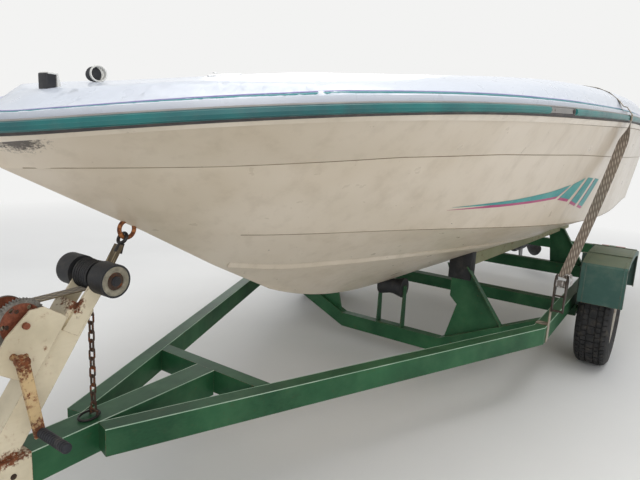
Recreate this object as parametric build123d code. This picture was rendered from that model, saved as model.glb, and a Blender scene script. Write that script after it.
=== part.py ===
from build123d import *
from math import atan2, cos, hypot, pi, radians, sin, sqrt, tan
import os

os.makedirs("parts", exist_ok=True)

# Speedboat with a stepped-chine hull, parked on its steel trailer.
# Millimetres, +X towards the bow, +Y to port, +Z up, origin on the floor under the middle.
# A station u runs aft from the tip of the bow. A level z is a height above the floor.

# Hull lines, each a table of station, half breadth and level. The last row ends on the transom.
sheer_table = [(0, 0, 1165), (110, 270, 1190), (330, 515, 1228), (1000, 811, 1287), (1800, 953, 1319),
               (3000, 993, 1353), (3800, 975, 1358), (None, 930, 1360)]
knuckle_table = [(60, 0, 1091), (400, 340, 1113), (800, 617, 1152), (1200, 766, 1169), (1800, 900, 1176),
                 (2900, 955, 1166), (None, 900, 1160)]
chine_table = [(440, 0, 903), (600, 140, 893), (1050, 446, 896), (1800, 765, 875), (2600, 880, 847),
               (3500, 882, 835), (None, 850, 831)]
strake_table = [(720, 0, 755), (930, 113, 729), (1400, 364, 740), (1900, 565, 752), (2700, 640, 735),
                (None, 620, 725)]
keel_table = [(1020, 0, 610), (1500, 0, 489), (2000, 0, 448), (2950, 0, 423), (None, 0, 420)]
# Top of the deck's rounded flank, row for row beside the sheer table, and the crown on the centreline
flank_table = [(150, 0, 1277), (235, 165, 1294), (440, 330, 1325), (1060, 555, 1405), (1830, 705, 1465),
               (3020, 762, 1526), (3790, 775, 1535), (None, 760, 1440)]
crown_rise = [0, 6, 10, 20, 25, 24, 20, 15]
transom_foot_u = 4420
transom_foot_z = 420
transom_rake = 0.3
band_height = 57
ledge_width = 18
ledge_rise = 5
bulge_low = (0.22, 0.55)
bulge_high = (0.58, 0.88)

# Rub rail
rail_below = 6
rail_above = 27
rail_out = 14
insert_out = 9
insert_margin = 4
insert_gap_u = (1254, 1463)

# Cockpit and engine bay
well_front_u = 2000
well_bow_half = 430
deck_edge_u = 2400
well_back_u = 3680
well_half = 640
well_floor_z = 790
well_corner = 110
bench_front_u = 3230
bench_z = 1010
bay_front_u = 3750
bay_back_u = 4400
bay_half = 330
bay_floor_z = 640
bay_wide_half = 600
bay_knee_z = 790
hatch_rim = 80
pad_recess_back_u = 4580
bench_side_gap = 40
pad_recess_half = well_half - bench_side_gap
pad_recess_z = 1385
seat_gap = 0.3

# Engine, one plain block
engine_length = 590
engine_half = 240
engine_height = 560

# Engine hatch and its cushion
hatch_thick = 25
hatch_side_gap = 10
hatch_front_overhang = 8
hinge_u = 4552
hinge_rise = 12.5
hatch_back_gap = 12
pad_thick = 75
pad_back_gap = 96
pad_side_inset = 12

# Drive: a shield on the transom, a ring that steers, a leg that tilts, and the propeller
shield_z = (600, 985)
shield_half = 190
shield_thick = 45
lug_half = 28
lug_height = 25
steer_back = 60
steer_pin_radius = 12
ring_half = 72
ring_depth = 20
ring_arm = 15
tilt_back = 55
tilt_z = 870
tilt_pin_radius = 14
leg_half = 52
plate_z = 448
plate_thick = 12
plate_back = 330
prop_z = 255
torpedo_radius = 48
torpedo_back = 228
skeg_z = 95
skeg_half = 5
prop_start = 233
prop_hub_length = 105
prop_radius = 172
prop_pitch = 430
prop_shaft_radius = 10
hub_radius = 42
blade_count = 3
blade_thick = 9
ram_y = 115
ram_pivot_forward = 10
ram_z = 640
ram_eye_back = 200
ram_pin_radius = 8
ram_eye_bore = 18
ram_eye_radius = 25
ram_eye_half = 11
barrel_radius = 22
barrel_length = 225
ram_rod_radius = 9
ram_rod_length = 245
pin_gap = 0.3

# Trailer frame
tongue_half = 40
frame_top_z = 400
tongue_depth = 90
tongue_front_u = -700
rail_depth = 80
rail_thick = 50
rail_nose = (243, 89)
rail_bend = (1966, 833)
rail_end_u = 4660
front_bar_u = 690
member_thick = 50
rear_bar_u = 3515
tail_bar_u = 4560
dropped_flat = 300
dropped_z = 180
coupler_nose_u = -890
ball_bore_radius = 25.5
ball_bore_depth = 34
coupler_radius = 37

# Axle, wheels and fenders
axle_u = 2820
axle_z = 290
axle_beam_half = 35
axle_beam_top_z = 320
axle_beam_depth = 70
axle_beam_end_y = 838
wheel_y = 958
tyre_radius = 290
tyre_width = 175
rim_radius = 165
rim_flange = 12
rim_width = 128
spindle_radius = 20
fender_y = (838, 1085)
fender_top_z = 658
fender_low_z = 410
fender_half_length = 312
fender_shoulder = (70, 58)
fender_sheet = 4
fender_skirt = 42

# Bunks, posts and keel roller
bunk_start = (2010, 345)
bunk_end = (3720, 560)
bunk_width = 60
bunk_height = 50
post_setback = 21
post_plate = 8
keel_roller_u = 2100
dropped_u = keel_roller_u - member_thick / 2
keel_roller_half = 70
keel_roller_end_radius = 54
keel_roller_mid_radius = 42
roller_gap = 0.3

# Winch post and bow roller
post_foot = (10, 420)
post_head = (240, 760)
post_half = 35
post_length = 385
saddle_plate = 6
bow_roller_at = (277, 805)
bow_roller_radius = 44
bow_roller_half = 100
spool_radius = 30
arm_plate = 6
arm_inner_y = 36
bolt_radius = 8

# Winch: the gear and the drum turn on one shaft, the crank's pinion on the other
gear_teeth = 48
pinion_teeth = 12
gear_module = 2.5
pressure_angle = 25
tooth_thinning = 0.25
gear_at = (290, 89)
crank_at = (216, 76)
gear_face = (25, 34)
drum_radius = 16
strap_roll_radius = 36
side_plate_y = 50
side_plate = 4
crank_arm_length = 187
crank_arm_y = (86, 94)
grip_end_y = 205
grip_radius = 16
strap_width = 40
strap_thick = 3
hook_wire = 5
hook_ring = 15
hook_gap = 0.3

# Jack
jack_u = -380
jack_outer_radius = 28
jack_inner_radius = 22
jack_wall_gap = 0.3
jack_top_z = 720
jack_low_z = 250
jack_leg_top_z = 470
jack_foot_half = 60
jack_foot_thick = 8

# Tie-down
tie_u = 2310
tie_foot = (2030, 868, 610)
tie_width = 48
tie_thick = 2.4
roll_radius = 22

steer_u = transom_foot_u + (shield_z[1] - transom_foot_z) * transom_rake + shield_thick + steer_back
tilt_u = steer_u + tilt_back
prop_u = tilt_u + prop_start
drive_rear_u = prop_u + prop_hub_length
bow_x = (coupler_nose_u + drive_rear_u) / 2


def transom_u(z):
    """The station of the raked transom at a level."""
    return transom_foot_u + (z - transom_foot_z) * transom_rake


def spot(u, y, z):
    return Vector(bow_x - u, y, z)


def brick(u0, u1, y0, y1, z0, z1):
    """A box between two stations, two sides and two levels."""
    middle = Pos(bow_x - (u0 + u1) / 2, (y0 + y1) / 2, (z0 + z1) / 2)
    return middle * Box(abs(u1 - u0), abs(y1 - y0), abs(z1 - z0))


def side_prism(profile, y0, y1):
    """A profile of (station, level) points, as thick as from y0 to y1."""
    face = Face(Wire.make_polygon([spot(u, y0, z) for u, z in profile], close=True))
    return extrude(face, amount=y1 - y0, dir=(0, 1, 0))


def cross_prism(profile, u0, u1):
    """A profile of (side, level) points, as long as from station u0 to u1."""
    face = Face(Wire.make_polygon([spot(u0, y, z) for y, z in profile], close=True))
    return extrude(face, amount=u1 - u0, dir=(-1, 0, 0))


def plan_prism(profile, z0, z1):
    """A profile of (station, side) points, as high as from z0 to z1."""
    face = Face(Wire.make_polygon([spot(u, y, z0) for u, y in profile], close=True))
    return extrude(face, amount=z1 - z0, dir=(0, 0, 1))


def rod(start, end, radius):
    """A round bar between two points."""
    way = end - start
    bar = Cylinder(radius, way.length, align=(Align.CENTER, Align.CENTER, Align.MIN))
    return Plane(origin=start, z_dir=way).location * bar


def cross_rod(u, z, y0, y1, radius):
    return rod(spot(u, min(y0, y1), z), spot(u, max(y0, y1), z), radius)


def turned(u, z, profile):
    """A revolve about the line along Y at a station and level. The profile has (side, radius) points."""
    face = Face(Wire.make_polygon([spot(u, y, z + r) for y, r in profile], close=True))
    return revolve(face, axis=Axis(spot(u, 0, z), (0, 1, 0)))


def mirrored(shape):
    return mirror(shape, about=Plane.XZ)


def on_both_sides(shape):
    return [shape, mirrored(shape)]


def one(shapes):
    """Several solids that don't touch, kept as one sub-part."""
    solids = []
    for shape in shapes:
        solids += list(shape.solids())
    return Compound(children=solids)


def save(shape, node):
    export_step(shape, "parts/" + node + ".step")


def inset(table, inward, rise):
    """The line beside a table's line, moved inward in plan and up."""
    points = [(transom_u(z) if u is None else u, y, z) for u, y, z in table]
    moved = []
    for i, (u, y, z) in enumerate(points):
        before = points[max(i - 1, 0)]
        after = points[min(i + 1, len(points) - 1)]
        du, dy = after[0] - before[0], after[1] - before[1]
        if i == 0:
            du, dy = 0, 1
        size = hypot(du, dy)
        moved.append((u + inward * dy / size, y - inward * du / size, z + rise))
    return moved[:-1] + [(None, moved[-1][1], moved[-1][2])]


def between(table, other, share, rise_share):
    """The line between two tables' lines, a share of the way in plan and in level."""
    rows = []
    for (u, y, z), (v, w, h) in zip(table[:-1], other[:-1]):
        rows.append((u + (v - u) * share, y + (w - y) * share, z + (h - z) * rise_share))
    (_, y, z), (_, w, h) = table[-1], other[-1]
    return rows + [(None, y + (w - y) * share, z + (h - z) * rise_share)]


def line(table, side=1, square=False):
    """The smooth line through a table. A square line crosses the centreline at right angles."""
    points = [spot(transom_u(z) if u is None else u, side * y, z) for u, y, z in table]
    if square:
        last = points[-1] - points[-2]
        return Spline(*points, tangents=[(0, side, 0), last], tangent_scalars=[1.0, 1.0]).edge()
    return Spline(*points).edge()


def strip(first, second):
    """The straight-ruled faces between two lines."""
    return Shell.make_loft([Wire([first]), Wire([second])], ruled=True).faces()


def on_transom(edge):
    """True where an edge lies in the transom's plane."""
    ends = edge.vertices()
    return len(ends) == 2 and all(abs(bow_x - end.X - transom_u(end.Z)) < 0.01 for end in ends)


def closed_solid(faces):
    """A solid from its skin, closed at the transom by a flat face."""
    rim = [edge for face in faces for edge in face.edges() if on_transom(edge)]
    return Solid(Shell(faces + [Face(Wire(rim))]))


# Hull and deck: each skin is made of strips ruled between long lines, closed by the sheer plane
ledge_low = inset(sheer_table, 0, band_height)
ledge_high = inset(sheer_table, ledge_width, band_height + ledge_rise)
flank_low = between(ledge_high, flank_table, *bulge_low)
flank_high = between(ledge_high, flank_table, *bulge_high)
crown_table = [(u, 0, z + rise) for (u, y, z), rise in zip(flank_table, crown_rise)]

hull_faces = []
deck_faces = []
for side in (1, -1):
    hull_lines = [line(table, side) for table in (keel_table, strake_table, chine_table, knuckle_table)]
    hull_lines.append(line(sheer_table, side, square=True))
    for low, high in zip(hull_lines, hull_lines[1:]):
        hull_faces += strip(low, high)
    deck_lines = [line(table, side, square=True) for table in (sheer_table, ledge_low, ledge_high)]
    for low, high in zip(deck_lines, deck_lines[1:]):
        deck_faces += strip(low, high)
    flank_tables = (ledge_high, flank_low, flank_high, flank_table)
    flank_lines = [line(table, side, square=True) for table in flank_tables]
    deck_faces += Shell.make_loft([Wire([edge]) for edge in flank_lines]).faces()
    deck_faces += strip(flank_lines[-1], line(crown_table, side))
sheer_plane = strip(line(sheer_table, 1, square=True), line(sheer_table, -1, square=True))
hull_solid = closed_solid(hull_faces + sheer_plane)
deck_solid = closed_solid(deck_faces + sheer_plane)

# Cockpit, engine bay and the flat recess for the hatch
well_plan = [(well_front_u, -well_bow_half), (deck_edge_u, -well_half), (well_back_u, -well_half),
             (well_back_u, well_half), (deck_edge_u, well_half), (well_front_u, well_bow_half)]
sheer_room_z = 1400
well = plan_prism(well_plan, bench_z, sheer_room_z)
well = fillet(well.edges().filter_by(Axis.Z).sort_by(Axis.X)[-4:], well_corner * 0.5)
deep_plan = [(well_front_u, -well_bow_half), (deck_edge_u, -well_half), (bench_front_u, -well_half),
             (bench_front_u, well_half), (deck_edge_u, well_half), (well_front_u, well_bow_half)]
deep_well = plan_prism(deep_plan, well_floor_z, bench_z + 1)
bay_half_ring = [(bay_half, bay_floor_z), (bay_wide_half, bay_knee_z), (bay_wide_half, sheer_room_z)]
bay_ring = bay_half_ring + [(-y, z) for y, z in reversed(bay_half_ring)]
bay = cross_prism(bay_ring, bay_front_u, bay_back_u)
mouth_half = pad_recess_half - hatch_rim
bay_mouth = brick(bay_front_u, bay_back_u, -mouth_half, mouth_half, sheer_table[0][2], sheer_room_z)
deck_top_z = max(z for _, _, z in flank_table) + 65
deck_hole = brick(deck_edge_u, well_back_u, -well_half, well_half, sheer_table[0][2], deck_top_z)
deck_hole = fillet(deck_hole.edges().filter_by(Axis.Z).sort_by(Axis.X)[-2:], well_corner)
pad_recess = brick(well_back_u - 20, pad_recess_back_u, -pad_recess_half, pad_recess_half,
                   pad_recess_z, deck_top_z)
hull = hull_solid - well - deep_well - bay
deck = deck_solid - deck_hole - pad_recess - bay_mouth
save(hull, "hull")
save(deck, "deck")

# Rub rail: a fender strip over the joint, with a coloured insert that has lost one length
def rail_half(steps):
    """The port half of a strip beside the sheer. Each step has how far out and how far up its line is."""
    rails = [line(inset(sheer_table, -out, up), 1, square=True) for out, up in steps]
    faces = []
    for first, second in zip(rails, rails[1:] + rails[:1]):
        faces += strip(first, second)
    starts = [spot(-out, 0, sheer_table[0][2] + up) for out, up in steps]
    faces.append(Face(Wire.make_polygon(starts, close=True)))
    return closed_solid(faces)


def around_bow(half):
    return half + mirrored(half)


rail_steps = [(-10, -rail_below), (rail_out - 4, -rail_below), (rail_out, 0), (rail_out, rail_above - 3),
              (rail_out - 3, rail_above), (-10, rail_above)]
rub_rail = around_bow(rail_half(rail_steps)) - hull_solid - deck_solid
save(rub_rail, "rub_rail")
insert_top = rail_above - insert_margin
insert_steps = [(rail_out, 0), (rail_out + insert_out * 0.7, 3), (rail_out + insert_out, insert_top * 0.5),
                (rail_out + insert_out * 0.7, insert_top - 3), (rail_out, insert_top)]
missing = brick(*insert_gap_u, 700, 1100, 1250, 1420)
save(around_bow(rail_half(insert_steps)) - missing, "rub_rail_insert")

# Dash under the foredeck's edge
dash_profile = [(2400, 1345), (2400, 1490), (2455, 1482), (2530, 1395), (2510, 1150), (2440, 1130)]
dash_side_gap = 15
dash_half = well_half - dash_side_gap
dash_face_u = 2519
wheel_rake = 28
helm_y = -330
helm_z = 1290
column_way = Vector(-cos(radians(wheel_rake)), 0, sin(radians(wheel_rake)))
helm_root = spot(dash_face_u, helm_y, helm_z)
column_radius = 12
column_length = 105
bezel = rod(helm_root - column_way * 30, helm_root + column_way * 35, 34)
column_bore = rod(helm_root - column_way * 10, helm_root + column_way * 60, column_radius + pin_gap)
dash = side_prism(dash_profile, -dash_half, dash_half) + bezel - column_bore
save(dash - deck, "dash")

# Steering wheel: rim, three spokes, hub and column
helm_radius = 165
helm_centre = helm_root + column_way * column_length
helm_plane = Plane(origin=helm_centre, x_dir=(0, 1, 0), z_dir=column_way)
wheel_parts = helm_plane.location * Torus(helm_radius, 12)
wheel_parts += rod(helm_centre - column_way * 22, helm_centre + column_way * 14, 40)
wheel_parts += rod(helm_root - column_way * 5, helm_centre, column_radius)
for angle in (90, 210, 330):
    reach = helm_plane.x_dir * cos(radians(angle)) + helm_plane.y_dir * sin(radians(angle))
    wheel_parts += rod(helm_centre + reach * 20, helm_centre + reach * helm_radius, 8)
save(wheel_parts, "steering_wheel")

# Throttle box on the starboard side of the well
throttle_u = 2760
throttle_z = 1180
throttle = brick(throttle_u - 60, throttle_u + 60, -well_half, -well_half + 26,
                 throttle_z - 70, throttle_z + 70)
throttle += cross_rod(throttle_u, throttle_z, -well_half + 20, -well_half + 44, 20)
lever_foot = spot(throttle_u, -well_half + 38, throttle_z)
lever_head = spot(throttle_u - 40, -well_half + 46, throttle_z + 165)
throttle += rod(lever_foot, lever_head, 7)
throttle += Pos(lever_head) * Sphere(20)
save(throttle, "throttle")

# Front seats: a pedestal and a moulded shell each, with loose pads
seat_u = (2790, 3170)
seat_y = 345
seat_half = 215
seat_pan_z = 1040
seat_back_top_z = 1440
shell_thick = 14
pan_rise = 20
seat_lean = 60
seat_post_radius = 42
seat_foot_radius = 120
seat_foot_thick = 10
seat_front_u, seat_back_u = seat_u
shell_profile = [(seat_front_u, seat_pan_z + pan_rise), (seat_back_u, seat_pan_z),
                 (seat_back_u + seat_lean, seat_back_top_z),
                 (seat_back_u + seat_lean + shell_thick, seat_back_top_z),
                 (seat_back_u + shell_thick, seat_pan_z - shell_thick),
                 (seat_front_u, seat_pan_z + pan_rise - shell_thick)]
seats = []
for side in (1, -1):
    middle = side * seat_y
    shell = side_prism(shell_profile, middle - seat_half, middle + seat_half)
    mid_u = (seat_front_u + seat_back_u) / 2
    foot_spot = spot(mid_u, middle, well_floor_z)
    post = rod(foot_spot, spot(mid_u, middle, seat_pan_z), seat_post_radius)
    foot = rod(foot_spot, spot(mid_u, middle, well_floor_z + seat_foot_thick), seat_foot_radius)
    seats.append(shell + post + foot)
save(one(seats), "front_seats")

seat_pads = []
seat_pad_thick = 85
pad_inset = 8
pad_taper = 6
back_pad_thick = (62, 70)
back_pad_rise = (10, 18)
back_pad_round = 14
pan_pad_back_u = seat_back_u - back_pad_thick[0] - 4
pan_slope = pan_rise / (seat_back_u - seat_front_u)
pan_pad = [(seat_front_u, seat_pan_z + pan_rise + seat_gap),
           (pan_pad_back_u, seat_pan_z + (seat_back_u - pan_pad_back_u) * pan_slope + seat_gap),
           (pan_pad_back_u + pad_taper, seat_pan_z + seat_pad_thick),
           (seat_front_u + pad_taper, seat_pan_z + pan_rise + seat_pad_thick)]
back_pad_low_z = seat_pan_z + seat_pad_thick + pad_inset
back_slope = seat_lean / (seat_back_top_z - seat_pan_z)
back_low_u = seat_back_u + (back_pad_low_z - seat_pan_z) * back_slope - seat_gap
back_high_u = seat_back_u + seat_lean - seat_gap
low_thick, high_thick = back_pad_thick
front_rise, top_rise = back_pad_rise
back_pad = [(seat_back_u - low_thick, back_pad_low_z), (back_low_u, back_pad_low_z),
            (back_high_u, seat_back_top_z), (back_high_u - back_pad_round, seat_back_top_z + top_rise),
            (back_high_u - high_thick, seat_back_top_z + front_rise)]
for side in (1, -1):
    middle = side * seat_y
    for profile in (pan_pad, back_pad):
        seat_pads.append(side_prism(profile, middle - seat_half + pad_inset, middle + seat_half - pad_inset))
save(one(seat_pads), "seat_pads")

bench_half = pad_recess_half
bench_pad_thick = 100
bench_back_top_z = 1375
bench_back_thick = (104, 66)
bench_low_z = bench_z + seat_gap
bench_seat = brick(bench_front_u + pad_taper, well_back_u - bench_back_thick[0] - pad_taper,
                   -bench_half, bench_half, bench_low_z, bench_z + bench_pad_thick)
bench_back_profile = [(well_back_u - bench_back_thick[0], bench_low_z), (well_back_u - seat_gap, bench_low_z),
                      (well_back_u - seat_gap, bench_back_top_z),
                      (well_back_u - bench_back_thick[1], bench_back_top_z)]
save(one([bench_seat, side_prism(bench_back_profile, -bench_half, bench_half)]), "rear_bench")

# Engine block on the bay's floor
engine_front_u = bay_front_u + 30
save(brick(engine_front_u, engine_front_u + engine_length, -engine_half, engine_half, bay_floor_z,
           bay_floor_z + engine_height), "engine_block")

# Hatch over the engine, hinged at its aft edge, with a sun pad on it
hinge_z = pad_recess_z + seat_gap + hinge_rise
hatch_front_u = well_back_u + hatch_front_overhang
hatch_back_u = hinge_u - hatch_back_gap
hatch_half = pad_recess_half - hatch_side_gap
hatch_low_z = pad_recess_z + seat_gap
hatch = brick(hatch_front_u, hatch_back_u, -hatch_half, hatch_half, hatch_low_z, hatch_low_z + hatch_thick)
for middle in (-400, 400):
    hatch += cross_rod(hinge_u, hinge_z, middle - 45, middle + 45, 9)
    hatch += brick(hatch_back_u - 5, hinge_u, middle - 45, middle + 45, hinge_z - 5, hinge_z + 5)
save(hatch, "engine_hatch")
pad_z = hatch_low_z + hatch_thick + seat_gap
pad_half = hatch_half - pad_side_inset
sun_pad = brick(hatch_front_u + 6, hinge_u - pad_back_gap, -pad_half, pad_half, pad_z, pad_z + pad_thick)
save(sun_pad, "sun_pad")

# Deck and stem fittings, each cut to the surface that it stands on
def top_of(solid, u, y):
    """The highest level where a plumb line meets a solid."""
    crossings = solid.find_intersection_points(Axis(spot(u, y, 0), (0, 0, 1)))
    return max(point.Z for point, _ in crossings)


def low_of(solid, u, y):
    crossings = solid.find_intersection_points(Axis(spot(u, y, 0), (0, 0, 1)))
    return min(point.Z for point, _ in crossings)


cleat_length = 150
cleat_height = 34
cleat_horn_radius = 7
cleat_leg_radius = 8
cleat_leg_shift = 27
cleat_foot_half = (45, 15)
cleat_foot_thick = 6
cleat_sink = 15
bow_cleat_u = 760
stern_cleat_at = (4630, 690)


def cleat(u, y):
    """A horn cleat with two legs."""
    deck_z = top_of(deck_solid, u, y)
    horn_z = deck_z + cleat_height
    half_length = cleat_length / 2
    horn = rod(spot(u - half_length, y, horn_z), spot(u + half_length, y, horn_z), cleat_horn_radius)
    for shift in (-cleat_leg_shift, cleat_leg_shift):
        horn += rod(spot(u + shift, y, deck_z - cleat_sink), spot(u + shift, y, horn_z), cleat_leg_radius)
    along, across = cleat_foot_half
    foot = brick(u - along, u + along, y - across, y + across, deck_z - cleat_sink, deck_z + cleat_foot_thick)
    return horn + foot


cleats = [cleat(bow_cleat_u, 0)]
for side in (1, -1):
    cleats.append(cleat(stern_cleat_at[0], side * stern_cleat_at[1]))
save(one([shape - deck_solid for shape in cleats]), "cleats")

light_u = 190
light_z = top_of(deck_solid, light_u, 0)
light = brick(light_u - 30, light_u + 30, -24, 24, light_z - 30, light_z + 30)
light = fillet(light.edges().filter_by(Axis.Z), 12)
save(light - deck_solid, "bow_light")
vent_u = 310
vent_z = top_of(deck_solid, vent_u, 0)
vent = rod(spot(vent_u, 0, vent_z - 20), spot(vent_u, 0, vent_z + 14), 16)
vent += rod(spot(vent_u - 18, 0, vent_z + 22), spot(vent_u + 20, 0, vent_z + 22), 24)
vent -= rod(spot(vent_u - 19, 0, vent_z + 22), spot(vent_u + 4, 0, vent_z + 22), 18)
save(vent - deck_solid, "bow_vent")

# Bow eye: a U-bolt through the stem
eye_u = 385
eye_z = 915
eye_ring = 24
eye_wire = 6
eye_plane = Plane(origin=spot(eye_u, 0, eye_z), x_dir=(1, 0, 0), z_dir=(0, 1, 0))
bow_eye = eye_plane.location * Torus(eye_ring, eye_wire)
save(bow_eye - hull_solid, "bow_eye")

# Transom shield with an upper and a lower lug for the steering pins
low_z, high_z = shield_z
shield_profile = [(transom_u(low_z), low_z), (transom_u(high_z), high_z),
                  (transom_u(high_z) + shield_thick, high_z), (transom_u(low_z) + shield_thick, low_z)]
shield = side_prism(shield_profile, -shield_half, shield_half)
for z in (low_z, high_z - lug_height):
    shield += brick(transom_u(z) + 10, steer_u, -lug_half, lug_half, z, z + lug_height)
    shield += rod(spot(steer_u, 0, z), spot(steer_u, 0, z + lug_height), lug_half)
    shield -= rod(spot(steer_u, 0, z - 1), spot(steer_u, 0, z + lug_height + 1), steer_pin_radius + pin_gap)
save(shield, "transom_shield")

# Gimbal ring: steering pins, two arms, the tilt pin and the rams' front pins
ring_low_z = low_z + lug_height + pin_gap
ring_high_z = high_z - lug_height - pin_gap
ring = brick(steer_u - ring_depth, steer_u + ring_depth, -ring_half, ring_half, ring_low_z, ring_high_z)
ring += rod(spot(steer_u, 0, low_z), spot(steer_u, 0, high_z), steer_pin_radius)
for side in (1, -1):
    ring += brick(steer_u, tilt_u + 28, side * (ring_half - ring_arm), side * ring_half,
                  tilt_z - 32, tilt_z + 32)
    ring += cross_rod(steer_u - ram_pivot_forward, ram_z, side * ring_half, side * ram_y, ram_pin_radius)
ring += cross_rod(tilt_u, tilt_z, -ring_half, ring_half, tilt_pin_radius)
save(ring, "gimbal_ring")

# Drive leg: housing, foil strut, anti-ventilation plate, torpedo, skeg and the rams' rear pins
housing_profile = [(-30, 0), (-21, 21), (0, 30), (45, 60), (150, 65), (205, 30), (215, -90), (215, -250),
                   (180, -300), (35, -300), (-5, -180), (-30, -130)]
housing = side_prism([(tilt_u + du, tilt_z + dz) for du, dz in housing_profile], -leg_half, leg_half)
housing = fillet(housing.edges().filter_by(Axis.Y).sort_by(Axis.Z)[-4:], 12)
strut_plan = [(32, 0), (60, 24), (110, 34), (160, 28), (205, 0), (160, -28), (110, -34), (60, -24)]
strut = plan_prism([(tilt_u + du, y) for du, y in strut_plan], prop_z, tilt_z - 290)
plate_plan = [(5, 40), (60, 98), (190, 128), (plate_back - 30, 118), (plate_back, 60)]
plate_plan = plate_plan + [(du, -y) for du, y in reversed(plate_plan)]
vent_plate = plan_prism([(tilt_u + du, y) for du, y in plate_plan], plate_z, plate_z + plate_thick)
shaft_back = prop_start + prop_hub_length - 8
torpedo_profile = [(-25, 0), (-18, 18), (0, 34), (35, 45), (80, torpedo_radius), (180, torpedo_radius),
                   (torpedo_back, hub_radius), (torpedo_back, prop_shaft_radius),
                   (shaft_back, prop_shaft_radius), (shaft_back, 0)]
torpedo_ring = [spot(tilt_u + du, 0, prop_z + r) for du, r in torpedo_profile]
torpedo_face = Face(Wire.make_polygon(torpedo_ring, close=True))
torpedo = revolve(torpedo_face, axis=Axis(spot(tilt_u, 0, prop_z), (1, 0, 0)))
skeg_profile = [(50, prop_z), (190, prop_z), (222, skeg_z), (140, skeg_z)]
skeg = side_prism([(tilt_u + du, z) for du, z in skeg_profile], -skeg_half, skeg_half)
leg = housing + strut + vent_plate + torpedo + skeg
for side in (1, -1):
    leg += cross_rod(tilt_u + ram_eye_back, ram_z, side * (leg_half - 5), side * (ram_y + 12), ram_pin_radius)
leg -= cross_rod(tilt_u, tilt_z, -leg_half - 1, leg_half + 1, tilt_pin_radius + pin_gap)
save(leg, "drive_leg")

# Propeller: hub and blades whose twist follows the pitch
blade_table = [(hub_radius - 8, 66), (88, 118), (132, 122), (160, 84), (prop_radius, 26)]
prop_mid = spot(prop_u + prop_hub_length / 2, 0, prop_z)
prop = rod(spot(prop_u + prop_hub_length, 0, prop_z), spot(prop_u, 0, prop_z), hub_radius)
for number in range(blade_count):
    around = 360 / blade_count * number
    out = Vector(0, sin(radians(around)), cos(radians(around)))
    sections = []
    for radius, chord in blade_table:
        twist = atan2(prop_pitch, 2 * pi * radius)
        across = Vector(1, 0, 0) * sin(twist) + out.cross(Vector(1, 0, 0)) * cos(twist)
        plane = Plane(origin=prop_mid + out * radius, x_dir=across, z_dir=out)
        front_face = ThreePointArc((-chord / 2, 0), (0, blade_thick / 2), (chord / 2, 0))
        back_face = ThreePointArc((chord / 2, 0), (0, -blade_thick / 2), (-chord / 2, 0))
        sections.append(plane.location * Wire([front_face.edge(), back_face.edge()]))
    prop += Solid.make_loft(sections)
shaft_room = rod(spot(tilt_u + shaft_back + 2, 0, prop_z), spot(prop_u - 1, 0, prop_z),
                 prop_shaft_radius + pin_gap)
prop -= shaft_room
save(prop, "propeller")

# Trim rams: barrels on the ring, rods to the leg
ram_front_u = steer_u - ram_pivot_forward
ram_eye_u = tilt_u + ram_eye_back
barrels = []
ram_rods = []
for side in (1, -1):
    y = side * ram_y
    barrel = rod(spot(ram_front_u - 20, y, ram_z), spot(ram_front_u + barrel_length, y, ram_z), barrel_radius)
    barrel -= rod(spot(ram_front_u + 14, y, ram_z), spot(ram_front_u + barrel_length + 1, y, ram_z),
                  ram_rod_radius + pin_gap)
    barrel -= cross_rod(ram_front_u, ram_z, side * (ram_y - 30), side * (ram_y + 1), ram_pin_radius + pin_gap)
    barrels.append(barrel)
    start_u = ram_eye_u - ram_rod_length
    bar = rod(spot(start_u, y, ram_z), spot(ram_eye_u - ram_eye_bore - 3, y, ram_z), ram_rod_radius)
    bar += cross_rod(ram_eye_u, ram_z, y - ram_eye_half, y + ram_eye_half, ram_eye_radius)
    bar -= cross_rod(ram_eye_u, ram_z, y - ram_eye_half - 1, y + ram_eye_half + 1, ram_eye_bore)
    ram_rods.append(bar)
save(one(barrels), "ram_barrels")
save(one(ram_rods), "ram_rods")

# Trailer frame: tongue, two bent rails, level members, a dropped member and the axle beam
tongue_low_z = frame_top_z - tongue_depth
tongue = brick(tongue_front_u, front_bar_u, -tongue_half, tongue_half, tongue_low_z, frame_top_z)
save(tongue, "tongue")
nose_u, nose_y = rail_nose
bend_u, bend_y = rail_bend
arm_angle = atan2(bend_y - nose_y, bend_u - nose_u)
arm_slope = tan(arm_angle)
inner_y = bend_y - rail_thick
inner_bend_u = bend_u + rail_thick * tan(arm_angle / 2)
inner_nose_u = inner_bend_u - (inner_y - tongue_half) / arm_slope
rail_plan = [(nose_u, nose_y), (bend_u, bend_y), (rail_end_u, bend_y), (rail_end_u, inner_y),
             (inner_bend_u, inner_y), (inner_nose_u, tongue_half)]
rail_low_z = frame_top_z - rail_depth
rail = plan_prism(rail_plan, rail_low_z, frame_top_z)
save(rail, "rail_left")
save(mirrored(rail), "rail_right")


def arm_inner_at(u):
    """The side of a rail's inner face at a station of its slanting arm."""
    return tongue_half + (u - inner_nose_u) * arm_slope


front_back_u = front_bar_u + member_thick
front_plan = [(front_bar_u, arm_inner_at(front_bar_u)), (front_back_u, arm_inner_at(front_back_u)),
              (front_back_u, -arm_inner_at(front_back_u)), (front_bar_u, -arm_inner_at(front_bar_u))]
members = [plan_prism(front_plan, rail_low_z, frame_top_z)]
for u in (rear_bar_u, tail_bar_u):
    members.append(brick(u, u + member_thick, -inner_y, inner_y, rail_low_z, frame_top_z))
save(one(members), "cross_members")
dropped_half = [(dropped_flat, dropped_z), (inner_y, frame_top_z), (inner_y, rail_low_z),
                (dropped_flat, dropped_z - rail_depth)]
dropped_profile = dropped_half + [(-y, z) for y, z in reversed(dropped_half)]
dropped_bar = cross_prism(dropped_profile, dropped_u, dropped_u + member_thick)
save(dropped_bar, "dropped_member")

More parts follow.
